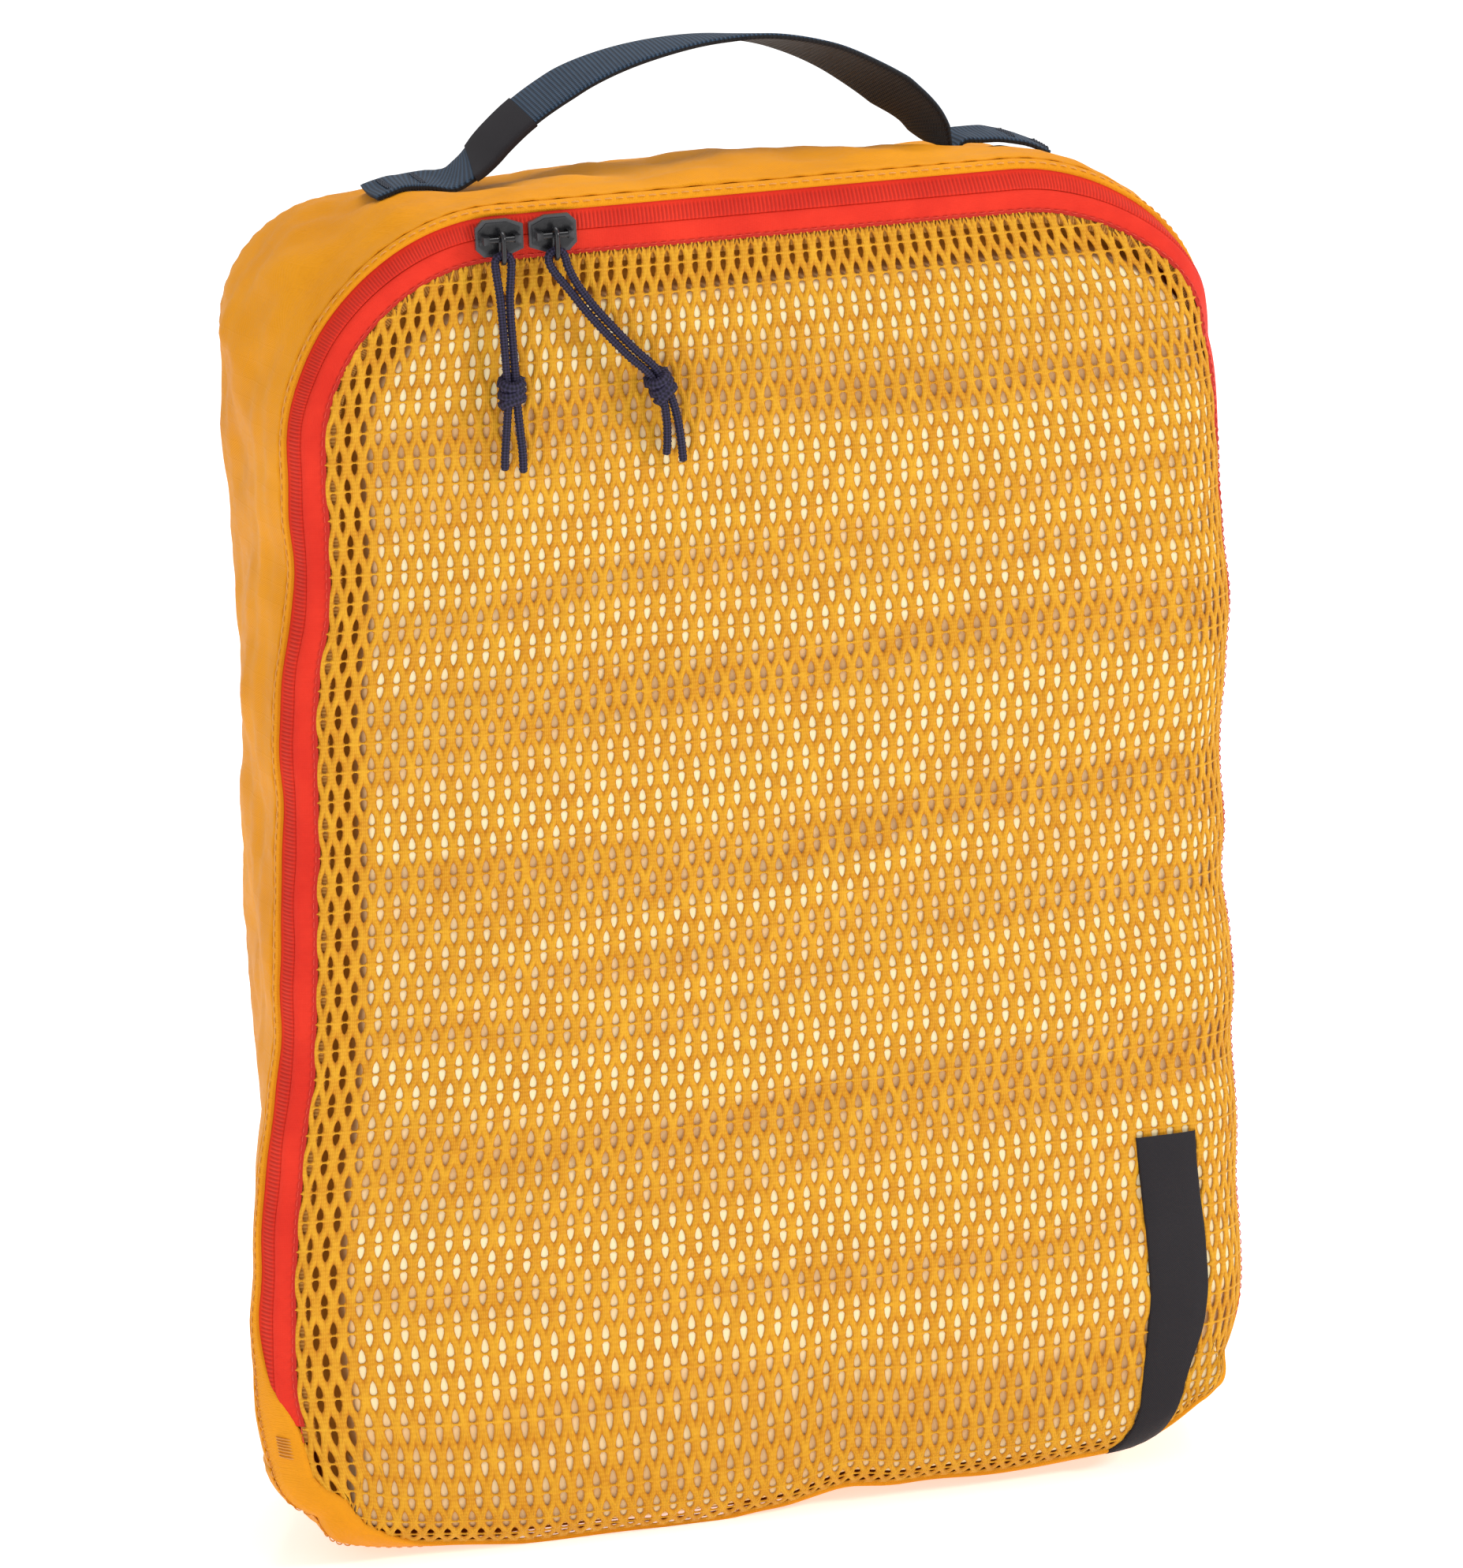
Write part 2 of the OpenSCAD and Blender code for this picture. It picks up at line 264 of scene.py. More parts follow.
cord_step = 0.25
cord_routes = {
    "cord_left_a": [(-67.5, -44.9, 341.6), (-69, -44.9, 341), (-69.6, -44.9, 339.5), (-69.4, -45, 336.5),
                    (-68.8, -45.2, 331), (-68.6, -45.8, 325), (-68.6, -46.8, 319), (-68.6, -47.8, 313),
                    (-68.6, -48.3, 308), (-68.8, -48.3, 302), (-69.4, -48.2, 296), (-70, -48.1, 290),
                    (-70.2, -48, 286)],
    "cord_left_b": [(-67.5, -44.9, 341.6), (-66, -44.9, 341), (-65.4, -44.9, 339.5), (-65.6, -45, 336.5),
                    (-66.2, -45.2, 331), (-66.4, -45.8, 325), (-66.4, -46.8, 319), (-66.4, -47.8, 313),
                    (-66.4, -48.3, 308), (-66.2, -48.3, 302), (-65.8, -48.2, 296), (-65.4, -48.1, 290),
                    (-65.4, -48, 285)],
    "cord_right_a": [(-53.5, -44.9, 341.6), (-55, -44.9, 341), (-55.6, -44.9, 339.5), (-54.6, -45, 336.5),
                     (-50.6, -45.2, 331), (-46.4, -45.8, 325), (-41.6, -46.6, 319), (-36.4, -47.6, 313),
                     (-31.4, -48.3, 308), (-28.2, -48.3, 302), (-27.2, -48.2, 296), (-27.2, -48.1, 290),
                     (-27.6, -48, 286)],
    "cord_right_b": [(-53.5, -44.9, 341.6), (-52, -44.9, 341), (-51.2, -44.9, 339.5), (-50.6, -45, 337),
                     (-48.6, -45.2, 332.6), (-44.6, -45.8, 326.5), (-39.8, -46.6, 320.5), (-34.7, -47.6, 314.6),
                     (-29.4, -48.3, 309), (-26, -48.3, 302), (-24.4, -48.2, 296), (-23.6, -48.1, 290),
                     (-23.2, -48, 284)],
}


def smooth_route(points, step=cord_step):
    """A smooth line through round points, resampled at an even step, in millimetres."""
    points = np.asarray(points, float)
    ends = [2 * points[0] - points[1], *points, 2 * points[-1] - points[-2]]
    line = []
    for a, b, c, d in zip(ends, ends[1:], ends[2:], ends[3:]):
        for t in np.linspace(0, 1, 24, endpoint=False):
            line.append(0.5 * (2 * b + (c - a) * t + (2 * a - 5 * b + 4 * c - d) * t * t
                               + (3 * b - a - 3 * c + d) * t ** 3))
    line = np.array(line + [points[-1]])
    run = np.concatenate([[0], np.cumsum(np.linalg.norm(np.diff(line, axis=0), axis=1))])
    even = np.arange(0, run[-1], step)
    return np.stack([np.interp(even, run, line[:, k]) for k in range(3)], 1), run[-1]


def tube_rings(line, radius, sides, hint=(0, 1, 0)):
    """Rings of points round a line, with a radius for each place and side."""
    ahead = np.gradient(line, axis=0)
    ahead /= np.linalg.norm(ahead, axis=1)[:, None]
    side = np.cross(ahead, hint)
    side /= np.maximum(np.linalg.norm(side, axis=1), 1e-9)[:, None]
    above = np.cross(ahead, side)
    turn = np.linspace(0, 2 * math.pi, sides, endpoint=False)
    radius = np.broadcast_to(radius, (len(line), sides))
    around = np.cos(turn)[None, :, None] * side[:, None] + np.sin(turn)[None, :, None] * above[:, None]
    return line[:, None] + radius[..., None] * around


cord_finish = Finish("braided_cord", (0.020, 0.017, 0.040), 0.66, Specular_IOR_Level=0.25)
along, around = cord_finish.lay()
plait = ((along * 4.2 + around * 3.0).wave() * (along * 4.2 - around * 3.0).wave())
fleck = cord_finish.noise(cord_finish.place(), 1400, 2)
raised = cord_finish.stretch(plait + fleck * 0.6, -0.4, 1.1)
cord_finish.colour(cord_finish.mix(raised, (0.006, 0.005, 0.012), (0.038, 0.032, 0.074)))
cord_finish.bump(plait, 0.0002, 0.5)


def braided(name, points, radius=1.06, lumps=0.09):
    """A braided strand as a tube whose four plaits stand out in turn."""
    line, length = smooth_route(points)
    run = np.arange(len(line)) * cord_step
    sides = 12
    turn = np.linspace(0, 2 * math.pi, sides, endpoint=False)
    plaits = (np.sin(2 * math.pi * run[:, None] / 2.3 + 2 * turn[None]) ** 2
              * np.sin(2 * math.pi * run[:, None] / 2.3 - 2 * turn[None]) ** 2)
    wide = radius * (0.97 + lumps * 1.6 * (plaits - 0.25) * 2)
    wide[0] *= 0.5
    wide[-1] *= 0.55
    wide[-2] *= 0.9
    rings = tube_rings(line, wide, sides)
    lay = np.stack(np.meshgrid(run, np.arange(sides + 1) * 0.55, indexing="ij"), -1)
    made = grid_mesh(name, rings, lay, closed=True, finish=cord_finish)
    close_ends(made)
    return made, line, length


cords = {name: braided(name.replace("cord", "pull_cord"), route) for name, route in cord_routes.items()}


# Overhand knots: each cord pair is tied once round itself, so the knot shows two fat wraps that
# cross over the strands, and it is drawn hard enough to be lumpy. Same braid as the cord.
def knot(name, node):
    low, high = (np.array(v) * 1000 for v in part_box(node))
    middle = (low + high) / 2
    lean = math.radians(26 if "right" in name else 0)
    t = np.linspace(0, 2 * math.pi, 40)
    parts = []
    for k, (phase, lift) in enumerate(((0.0, 2.35), (0.9, 0.1), (2.2, -2.3))):
        x, y, z = 2.35 * np.cos(t), 2.15 * np.sin(t), lift + 0.85 * np.sin(t + phase)
        tipped = (x * math.cos(lean) - z * math.sin(lean), y, x * math.sin(lean) + z * math.cos(lean))
        loop = np.stack(tipped, 1)
        part, _, _ = braided(f"{name}_wrap_{k}", (loop + middle)[::3], radius=1.45, lumps=0.11)
        parts.append(part)
    bpy.context.view_layer.objects.active = parts[0]
    for part in bpy.context.view_layer.objects:
        part.select_set(part in parts)
    bpy.ops.object.join()
    parts[0].name = name
    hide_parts(node)
    return parts[0]


knots = {side: knot(f"pull_knot_{side}", f"knot_{side}") for side in ("left", "right")}
for name, (piece, line, length) in cords.items():
    side = name.split("_")[1]
    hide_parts(name)
    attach(piece, f"{side}_cord")
    tuple(line[0] * 0.001)
    length * 0.001
    (line * 0.001).tolist()
for side, piece in knots.items():
    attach(piece, f"{side}_cord")


# Sliders and rings: die-cast zinc sliders with a black lacquer, with a painted grey highlight along their
# sharp edges, and a ring of black wire through each slider's bridge. The solids are kept as they are.
lacquer = Finish("black_lacquer", (0.012, 0.012, 0.014), 0.28, Metallic=0.2, Coat_Weight=0.25,
                 Specular_IOR_Level=0.35, Coat_Roughness=0.15)
# painted highlight: the lacquer turns grey on sharp convex edges, standing in for light caught there
edge_highlight_and_mottle = lacquer.stretch(lacquer.node("ShaderNodeNewGeometry", {}, {}, 7), 0.515, 0.58)
cloudy = lacquer.noise(lacquer.place(), 900, 3)
lacquer.colour(lacquer.mix(edge_highlight_and_mottle, (0.010, 0.010, 0.012), (0.05, 0.05, 0.055)))
lacquer.rough(lacquer.stretch(cloudy, 0.3, 0.75, 0.22, 0.42))
lacquer.bump(cloudy, 0.00005, 0.3)
for node in ("slider_left", "slider_right", "pull_ring_left", "pull_ring_right"):
    kept = frame["nodes"][node]
    kept.data.materials.clear()
    kept.data.materials.append(lacquer.material)


# The stuffed shape: the cloth keeps its sewn layout, but packed clothes push it out. The sides roll
# round, more on the right than on the left, the lower left corner spreads, and the front sags a
# little below the base. Every soft piece is laid out flat and then put through this.
top_r = 60.0
base_r = 30.0
fold_z = float(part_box("front_border")[0][2]) * 1000
left_hem, right_hem = 25, 39
spread_left = [(-20, 21), (0, 23), (30, 26), (41, 27.6), (58, 28.5), (75, 28), (98, 24.5), (121, 20.5),
               (165, 16.3), (200, 15), (227, 13.6), (243, 10.8), (256, 8.8), (300, 7.8), (320, 4), (345, 0),
               (370, 0)]
spread_right = [(-20, 18), (0, 20), (30, 23), (46, 24), (76, 23.8), (92, 25), (107, 22), (122, 24.6),
                (138, 24), (153, 21.6), (169, 22.6), (184, 21.6), (199, 23), (214, 25), (230, 25.2),
                (246, 23.6), (278, 21.4), (292, 18.6), (306, 15.6), (320, 13), (336, 6), (350, 1), (370, 0)]
base_line = [(-140, 4), (-125, 1.5), (-113, 0.5), (-100, -1), (-70, -3.2), (-47, -3.6), (-23, -3.3),
             (-3, -2.3), (8, 1), (13, 2.4), (18, 2), (27, 0.4), (49, 0.4), (71, 1), (88, 2), (110, 2.5)]
roll_from = [(0, 25), (1, 25), (1.5, 19), (2, 14), (3, 14), (3.4, 18), (3.8, 30), (4.2, 39), (5, 39),
             (5.5, 32), (6, 26), (7, 26), (7.5, 20), (8, 25)]
roll_radius = [(0, 14), (1, 14), (1.5, 12), (2, 10), (3, 10), (3.4, 11), (3.8, 13), (4.2, 14), (5, 14),
               (5.5, 13), (6, 12), (7, 12), (7.5, 12), (8, 14)]


def between(table, at, blur=0.0):
    """A value read off a short table, with its corners rounded."""
    x, y = zip(*table)
    reads = [np.interp(np.asarray(at) + shift * blur, x, y) for shift in (-1, -0.5, 0, 0.5, 1)]
    return sum(reads) / len(reads)


def ease(value, low, high):
    t = np.clip((np.asarray(value, float) - low) / (high - low), 0, 1)
    return t * t * (3 - 2 * t)


def nearest_edge(x, z):
    """How far inside the outline a flat point is, which way out is, and its station round it:
    0 to 1 up the left side, 2 to 3 along the top, 4 to 5 down the right side, 6 to 7 along the base."""
    flat = half_w - top_r
    deep = half_w - base_r
    side = np.sign(x) + (x == 0)
    away = [half_w - np.abs(x), cube_h - z, z]
    which = np.argmin(away, axis=0)
    d = np.min(away, axis=0)
    nx = np.where(which == 0, side, 0.0)
    nz = np.where(which == 1, 1.0, np.where(which == 2, -1.0, 0.0))
    left_c = (z - base_r) / (cube_h - top_r - base_r)
    station = np.where(which == 0, np.where(side < 0, left_c, 5 - left_c),
                       np.where(which == 1, 2 + (x + flat) / (2 * flat), 6 + (deep - x) / (2 * deep)))
    for low_z, radius, centre_x, centre_z in ((True, base_r, deep, base_r),
                                              (False, top_r, flat, cube_h - top_r)):
        inside = (np.abs(x) > centre_x) & ((z < centre_z) if low_z else (z > centre_z))
        dx, dz = np.abs(x) - centre_x, z - centre_z
        reach = np.maximum(np.hypot(dx, dz), 1e-6)
        turn = np.arctan2(np.abs(dz), dx) / (math.pi / 2)
        d = np.where(inside, radius - reach, d)
        nx = np.where(inside, side * dx / reach, nx)
        nz = np.where(inside, dz / reach, nz)
        if low_z:
            at = np.where(side < 0, 8 - turn, 5 + turn)
        else:
            at = np.where(side < 0, 1 + turn, 4 - turn)
        station = np.where(inside, at, station)
    return d, nx, nz, station


def ripple(x, z, seed):
    """Gentle uneven waves, the same each time."""
    total = 0
    for k, (long, turn) in enumerate(((61, 0.3), (37, 1.9), (23, 2.7), (17, 0.9))):
        total = total + np.sin(2 * math.pi * (x * math.cos(turn + seed) + z * math.sin(turn + seed)) / long
                               + seed * (k + 2.3)) * long / 61
    return total


def stuffed(x, z, lift=0.0):
    """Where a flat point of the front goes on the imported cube, raised off the cloth by lift."""
    x, z = np.asarray(x, float), np.asarray(z, float)
    d, nx, nz, station = nearest_edge(x, z)
    start = between(roll_from, station % 8, 0.12)
    radius = between(roll_radius, station % 8, 0.12)
    flat_left, flat_right = half_w - left_hem, half_w - right_hem
    wider_left = np.maximum(x, -flat_left) * (1 + between(spread_left, z, 9) / flat_left)
    wider_right = np.minimum(x, flat_right) * (1 + between(spread_right, z, 7) / flat_right)
    new_x = np.where(x < 0, wider_left - np.clip(-x - flat_left, 0, None),
                     wider_right + np.clip(x - flat_right, 0, None))
    low = between([(-20, -20), (26, -20), (34, -9), (60, -3), (110, 0), (400, 0)], z, 4)
    new_z = z + low + between(base_line, new_x, 3) * ease(z, 62, 24)
    roll = np.clip((start - d) / radius, 0, math.pi / 2)
    past = np.clip((start - d) - radius * math.pi / 2, 0, None)
    shift = np.where(d < start, radius * np.sin(roll) - (start - d), 0)
    rim = ease(d, 45, 6)
    y = front_y + radius * (1 - np.cos(roll)) + past
    y = y - 4.6 * ease(d, 22, 75) + 0.5 * ripple(x, z * 1.4, 0.4) * ease(d, 25, 60)
    wave = rim * 0.5 * ripple(x, z, 1.3) * (1 - ease(z, 290, 335))
    out = shift + wave
    normal = np.stack([nx * np.sin(roll), -np.cos(roll), nz * np.sin(roll)], -1)
    new_x, new_z = new_x + nx * out, new_z + nz * out
    for mid_x, wide, power in ((82, 43, 2.2), (-85, -60, 4)):
        u, v = np.clip((new_x - mid_x) / wide, 1e-6, None), np.clip((46 - new_z) / 52, 1e-6, None)
        square = np.maximum(u, v)
        corner = 1 + (square / (u ** power + v ** power) ** (1 / power) - 1) * np.clip(square, 0, 1) ** 2
        new_x = np.where(u > 1e-5, mid_x + (new_x - mid_x) * corner, new_x)
        new_z = np.where((u > 1e-5) & (v > 1e-5), 46 - (46 - new_z) * corner, new_z)
    return np.stack([new_x, y, new_z], -1) + normal * np.asarray(lift, float)[..., None]


def layout(station, inset):
    """The flat point at a station round the outline and a distance inside it."""
    station, inset = np.broadcast_arrays(np.asarray(station, float) % 8, np.asarray(inset, float))
    flat, deep = half_w - top_r, half_w - base_r
    leg = np.floor(station).astype(int)
    t = station - leg
    rise = base_r + t * (cube_h - top_r - base_r)
    fall = cube_h - top_r - t * (cube_h - top_r - base_r)
    up, down = t * math.pi / 2, (1 - t) * math.pi / 2
    rt, rb = top_r - inset, base_r - inset
    x = np.select([leg == k for k in range(8)], [
        inset - half_w, -flat - rt * np.cos(up), -flat + t * 2 * flat, flat + rt * np.sin(up),
        half_w - inset, deep + rb * np.cos(up), deep - t * 2 * deep, -deep - rb * np.sin(up)])
    z = np.select([leg == k for k in range(8)], [
        rise, cube_h - top_r + rt * np.sin(up), cube_h - inset, cube_h - top_r + rt * np.sin(down),
        fall, base_r - rb * np.sin(up), inset, base_r - rb * np.cos(up)])
    return x, z


leg_mm = [cube_h - top_r - base_r, top_r * math.pi / 2, 2 * (half_w - top_r), top_r * math.pi / 2,
          cube_h - top_r - base_r, base_r * math.pi / 2, 2 * (half_w - base_r), base_r * math.pi / 2]
leg_start = np.concatenate([[0], np.cumsum(leg_mm)])


def stations(step, first=0.0, last=8.0):
    """Stations an even distance apart, and how far along the outline each one is."""
    first_mm, last_mm = (np.interp(s, range(9), leg_start) for s in (first, last))
    run = np.linspace(first_mm, last_mm, max(2, int(round((last_mm - first_mm) / step)) + 1))
    return np.interp(run, leg_start, range(9)), run


# Gusset and base: one strip of light ripstop nylon round the cube, sewn to the front border and to
# the back panel. It bulges between its two seams, slopes down to the back, and puckers at the seams.
ripstop = Finish("ripstop_yellow", (0.71, 0.28, 0.008), 0.6, Sheen_Weight=0.02, Sheen_Roughness=0.4,
                 Specular_IOR_Level=0.1)
ripstop.surface.inputs["Sheen Tint"].default_value = (1.0, 0.75, 0.35, 1)
place = ripstop.place()
broad = ripstop.noise(place, 22, 3, 0.6, 0.4)
fine = ripstop.noise(place, 700, 2)
axes = ripstop.node("ShaderNodeSeparateXYZ", {}, {0: place})
across_y = Wire(ripstop, axes.socket.node.outputs[1])
up_z = Wire(ripstop, axes.socket.node.outputs[2])
threads = ((axes + across_y) * 9000).wave() * (up_z * 9000).wave()
grid = ((axes + across_y) * 1256).wave().most((up_z * 1256).wave())
ripstop.colour(ripstop.mix(ripstop.stretch(broad + fine * 0.25, 0.42, 0.82), (0.65, 0.240, 0.005),
                           (0.76, 0.300, 0.009)))
ripstop.rough(ripstop.stretch(fine, 0.3, 0.7, 0.46, 0.60))
ripstop.bump(threads * 0.5 + ripstop.stretch(grid, 0.93, 1.0) * 0.6 + broad * 5, 0.00012, 0.55)

seam_in = 6.0
back_corner_left, back_corner_right = 32.0, 54.0
back_half = 125.0
back_top = 343.0
gusset_lowest = -6.6


def back_outline(station, inset=0.0):
    """The back panel's seam, with tighter corners than the front and a top that slopes down to it."""
    station = np.asarray(station, float) % 8
    leg = np.floor(station).astype(int)
    t = station - leg
    deep = back_half - base_r
    top, low = back_top, -4.0
    up = t * math.pi / 2
    left, right_r = back_corner_left, back_corner_right
    flat_left, flat_right = back_half - left, back_half - right_r
    rb = base_r - inset
    rise = low + base_r + t * (top - left - low - base_r)
    fall = top - right_r - t * (top - right_r - low - base_r)
    x = np.select([leg == k for k in range(8)], [
        -back_half + inset + 0 * t, -flat_left - (left - inset) * np.cos(up),
        -flat_left + t * (flat_left + flat_right), flat_right + (right_r - inset) * np.sin(up),
        back_half - inset + 0 * t, deep + rb * np.cos(up), deep - t * 2 * deep, -deep - rb * np.sin(up)])
    z = np.select([leg == k for k in range(8)], [
        rise, top - left + (left - inset) * np.sin(up), top - inset + 0 * t,
        top - right_r + (right_r - inset) * np.cos(up),
        fall, low + base_r - rb * np.sin(up), low + inset + 0 * t, low + base_r - rb * np.cos(up)])
    x = x + 1.6 * np.sin(z / 31.0) * (leg == 0) * np.sin(np.clip((z - 25) / 270, 0, 1) * math.pi)
    return x, z


def gusset_points(station, depth):
    """Points of the gusset from the front seam, depth 0, to the back seam, depth 1."""
    x, z = layout(station, seam_in)
    station = np.asarray(station) % 8
    d, nx, nz, at = nearest_edge(x, z)
    start = stuffed(x, z)
    turn = (between(roll_from, at % 8, 0.12) - d) / between(roll_radius, at % 8, 0.12)
    roll = np.clip(turn, 0, math.pi / 2)
    out = np.stack([nx, 0 * nx, nz], -1)
    rear = np.array([0.0, 1.0, 0.0])
    bx, bz = back_outline(station)
    end = np.stack([bx, np.full_like(bx, back_y - 1.0), bz], -1)
    soar = between([(0, 1), (1, 1), (1.4, 0.5), (1.6, 0.12), (2.05, 0.12), (2.5, 0.7), (2.95, 0.1),
                    (3.4, 0.1), (3.8, 0.6), (4.2, 1), (8, 1)], station, 0.1)
    tuck = between([(0, 0.12), (0.07, 0.34), (0.3, 0.34), (0.5, 0), (7.8, 0), (8, 0.12)], station, 0.03)
    first = start + 19 * (out * (np.cos(roll) * soar - tuck)[..., None] + rear * np.sin(roll)[..., None])
    plump = between([(0, 0), (0.3, 0), (0.5, 4), (0.7, 6), (1, 5), (1.5, 4.5), (1.8, 6), (2.1, 7), (2.8, 7),
                     (3, 3), (3.3, -0.5), (3.5, -1), (4, 4), (5, 6), (5.6, 2), (6, 0.5), (7, 0.5), (8, 0)],
                    station, 0.15)
    last = end + out * plump[..., None] - rear * 24
    t = np.asarray(depth, float)[..., None]
    point = start * (1 - t) ** 3 + 3 * first * t * (1 - t) ** 2 + 3 * last * t * t * (1 - t) + end * t ** 3
    t = t[..., 0]
    run = np.interp(station, range(9), leg_start)
    hang = 0.9 * ripple(run, 90 * t, 0.8) + 0.45 * ripple(run * 1.7, 160 * t, 2.1)
    near_seams = 0.20 * np.exp(-t * 13) + 0.14 * np.exp(-(1 - t) * 13)
    pucker = np.sin(run * 2 * math.pi / 8.3 + 2 * np.sin(run / 19)) * near_seams
    calm = 1 - 0.75 * ease(station, 5.6, 6) * (1 - ease(station, 7, 7.5))
    calm = calm - 0.6 * (1 - ease(station, 0.25, 0.5))
    swell = hang * np.sin(math.pi * t) ** 0.7 * calm + pucker * calm
    point = point + out * swell[..., None]
    point[..., 2] = np.maximum(point[..., 2], gusset_lowest)
    return point


def sewn(piece, body, slot, *nodes):
    """Puts a piece in place of its solids, on one body. The slot argument is not used."""
    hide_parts(*nodes)
    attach(piece, body)


def gusset_strip(name, node, first, last):
    at, run = stations(2.2, first, last)
    station, t = np.meshgrid(at, np.linspace(0, 1, 38))
    lay = np.stack([np.broadcast_to(run, t.shape), t * 80], -1)
    made = grid_mesh(name, gusset_points(station, t)[::-1], lay, finish=ripstop)
    thick = made.modifiers.new("cloth", "SOLIDIFY")
    thick.thickness = 0.0004
    thick.offset = -1
    sewn(made, "bag", "cloth", node)
    return made


gusset = gusset_strip("gusset_cloth", "side_gusset", 0.0, 5.0)
gusset_strip("base_cloth", "base_gusset", 5.0, 8.0)


# Back panel: the same ripstop, cut to the outline and sewn in round its edge. It is pushed out a
# few millimetres by what is packed, and dimples towards the corners.
def filled_outline(name, edge, depth_of, rings, finish):
    """A panel of rings that close in from its edge to the middle."""
    edge = np.asarray(edge, float)
    middle = edge.mean(axis=0)
    shares = 1 - np.linspace(0, 1, rings, endpoint=False) ** 0.9
    points = np.stack([middle + (edge - middle) * s for s in shares])
    full = np.zeros((*points.shape[:2], 3))
    full[..., 0], full[..., 2] = points[..., 0], points[..., 1]
    full[..., 1] = depth_of(points[..., 0], points[..., 1], shares[:, None])
    made = grid_mesh(name, full, None, closed=True, finish=finish)
    closing = bmesh.new()
    closing.from_mesh(made.data)
    closing.verts.ensure_lookup_table()
    columns = edge.shape[0]
    core = closing.verts.new(Vector((middle[0], float(np.mean(full[-1, :, 1])), middle[1])) * 0.001)
    closing.verts.ensure_lookup_table()
    ring = [closing.verts[(rings - 1) * columns + k] for k in range(columns)]
    for k in range(columns):
        closing.faces.new((ring[k], ring[(k + 1) % columns], core))
    bmesh.ops.recalc_face_normals(closing, faces=closing.faces)
    closing.to_mesh(made.data)
    closing.free()
    made.data.shade_smooth()
    return made


at, run = stations(3.0)
at, run = at[:-1], run[:-1]
bx, bz = back_outline(at)


def back_depth(x, z, share):
    swell = 5.5 * (1 - share ** 2.2) * (1 - 0.3 * share)
    pucker = 0.12 * np.sin(run / 8.1 * 2 * math.pi)[None] * share ** 14
    return back_y - 1.0 + swell + 0.9 * (0.8 * ripple(x, z, 2.6) * (1 - share ** 6) + pucker)


back_cloth = filled_outline("back_cloth", np.stack([bx, bz], 1), back_depth, 34, ripstop)
sewn(back_cloth, "bag", "cloth", "back_panel")


# Front border: a narrow bias strip of the same ripstop between the gusset seam and the zip, turned
# under and topstitched. Below the zip's ends it widens round the base and holds the mesh.
def front_strip(name, first, last, insets, lifts, finish, step=2.0, inner=None):
    """A strip round the front between fixed insets, or widened so that its inner edge follows a table."""
    at, run = stations(step, first, last)
    station, inset = np.meshgrid(at, np.asarray(insets, float))
    if inner:
        reach = (between(inner, station, 0.02) - insets[0]) / (insets[-1] - insets[0])
        inset = insets[0] + (inset - insets[0]) * reach
    lift = np.broadcast_to(np.asarray(lifts, float)[:, None], station.shape)
    x, z = layout(station, inset)
    lay = np.stack([np.broadcast_to(run, station.shape), inset], -1)
    return grid_mesh(name, stuffed(x, z, lift), lay, finish=finish)


edge_insets = [6, 6.4, 7.2, 8.2, 8.7, 9.0, 9.1]
edge_lifts = [0, 0.5, 0.75, 0.85, 0.85, 0.6, -0.6]
zip_cover = [(0, 20.4), (0.03, 20.4), (0.055, 16), (0.08, 12), (0.12, 9.1), (4.88, 9.1), (4.92, 12),
             (4.945, 16), (4.97, 20.4), (5, 20.4)]
base_cover = [(5, 20.4), (5.5, 20), (6, 19), (6.07, 15), (6.14, 13), (6.3, 12), (6.6, 12), (6.85, 12),
              (6.925, 12.8), (7, 23), (7.25, 24.2), (7.5, 24.3), (7.75, 23.4), (8, 20.4)]
for name, node, first, last, cover in (("border_cloth", "front_border", 0.0, 5.0, zip_cover),
                                       ("base_border_cloth", "base_border", 5.0, 8.0, base_cover)):
    border = front_strip(name, first, last, edge_insets, edge_lifts, ripstop, inner=cover)
    sewn(border, "bag", "cloth", node)


# Zip: two red woven tapes whose folded edges meet over a nylon coil that is sewn on the inside. The
# outer tape is sewn to the border, the inner one to the mesh, and both run up one side, over the
# top and down the other.
zip_mid = 14.5
zip_from, zip_to = 0.034, 4.966
tape = Finish("zip_tape_red", (0.80, 0.055, 0.018), 0.62, Sheen_Weight=0.06, Specular_IOR_Level=0.2)
tape.surface.inputs["Sheen Tint"].default_value = (1.0, 0.45, 0.30, 1)
along, inset = tape.lay()
from_mid = abs(inset - zip_mid)
rib = (along * (2 * math.pi / 1.06)).wave()
yarn = 2 * math.pi / 0.62
twill = ((along + inset) * yarn).wave() * ((along - inset) * yarn).wave()
near = tape.stretch(abs(inset - 12.3), 2.6, 1.5)
cloudy = tape.noise(tape.place(), 60, 3)
ridged = tape.stretch(rib, -0.4, 0.7)
red = tape.mix(tape.stretch(cloudy, 0.35, 0.7), (0.62, 0.018, 0.006), (0.74, 0.030, 0.010))
# painted shade: the grooves between the ribs over the coil are darkened
red = tape.mix(near * (1 - ridged) * 0.5, red, (0.30, 0.009, 0.004))
# painted shadow: a dark line along both edges of the zip band, next to the border and the mesh seam
red = tape.mix(tape.stretch(from_mid, 4.7, 5.7) * 0.6, red, (0.30, 0.012, 0.008))
tape.colour(red)
tape.bump(rib * near * 1.2 + twill * 0.35, 0.00016, 0.6)


for side, body, insets, lifts in (
        ("outer", "bag", [8.2, 9.4, 10.8, 12.4, 13.4, 14.1, 14.44, 14.46],
         [-0.35, -0.2, 0.0, 0.35, 0.62, 0.6, 0.45, -0.6]),
        ("inner", "flap", [14.54, 14.56, 14.9, 15.6, 16.6, 18.2, 19.6, 20.6, 21.0],
         [-0.6, 0.45, 0.6, 0.62, 0.4, 0.15, 0.1, 0.0, -0.4])):
    half_zip = front_strip(f"zip_tape_{side}_cloth", zip_from, zip_to, insets, lifts, tape, step=1.4)
    sewn(half_zip, body, "zip_tape", f"zip_tape_{side}")


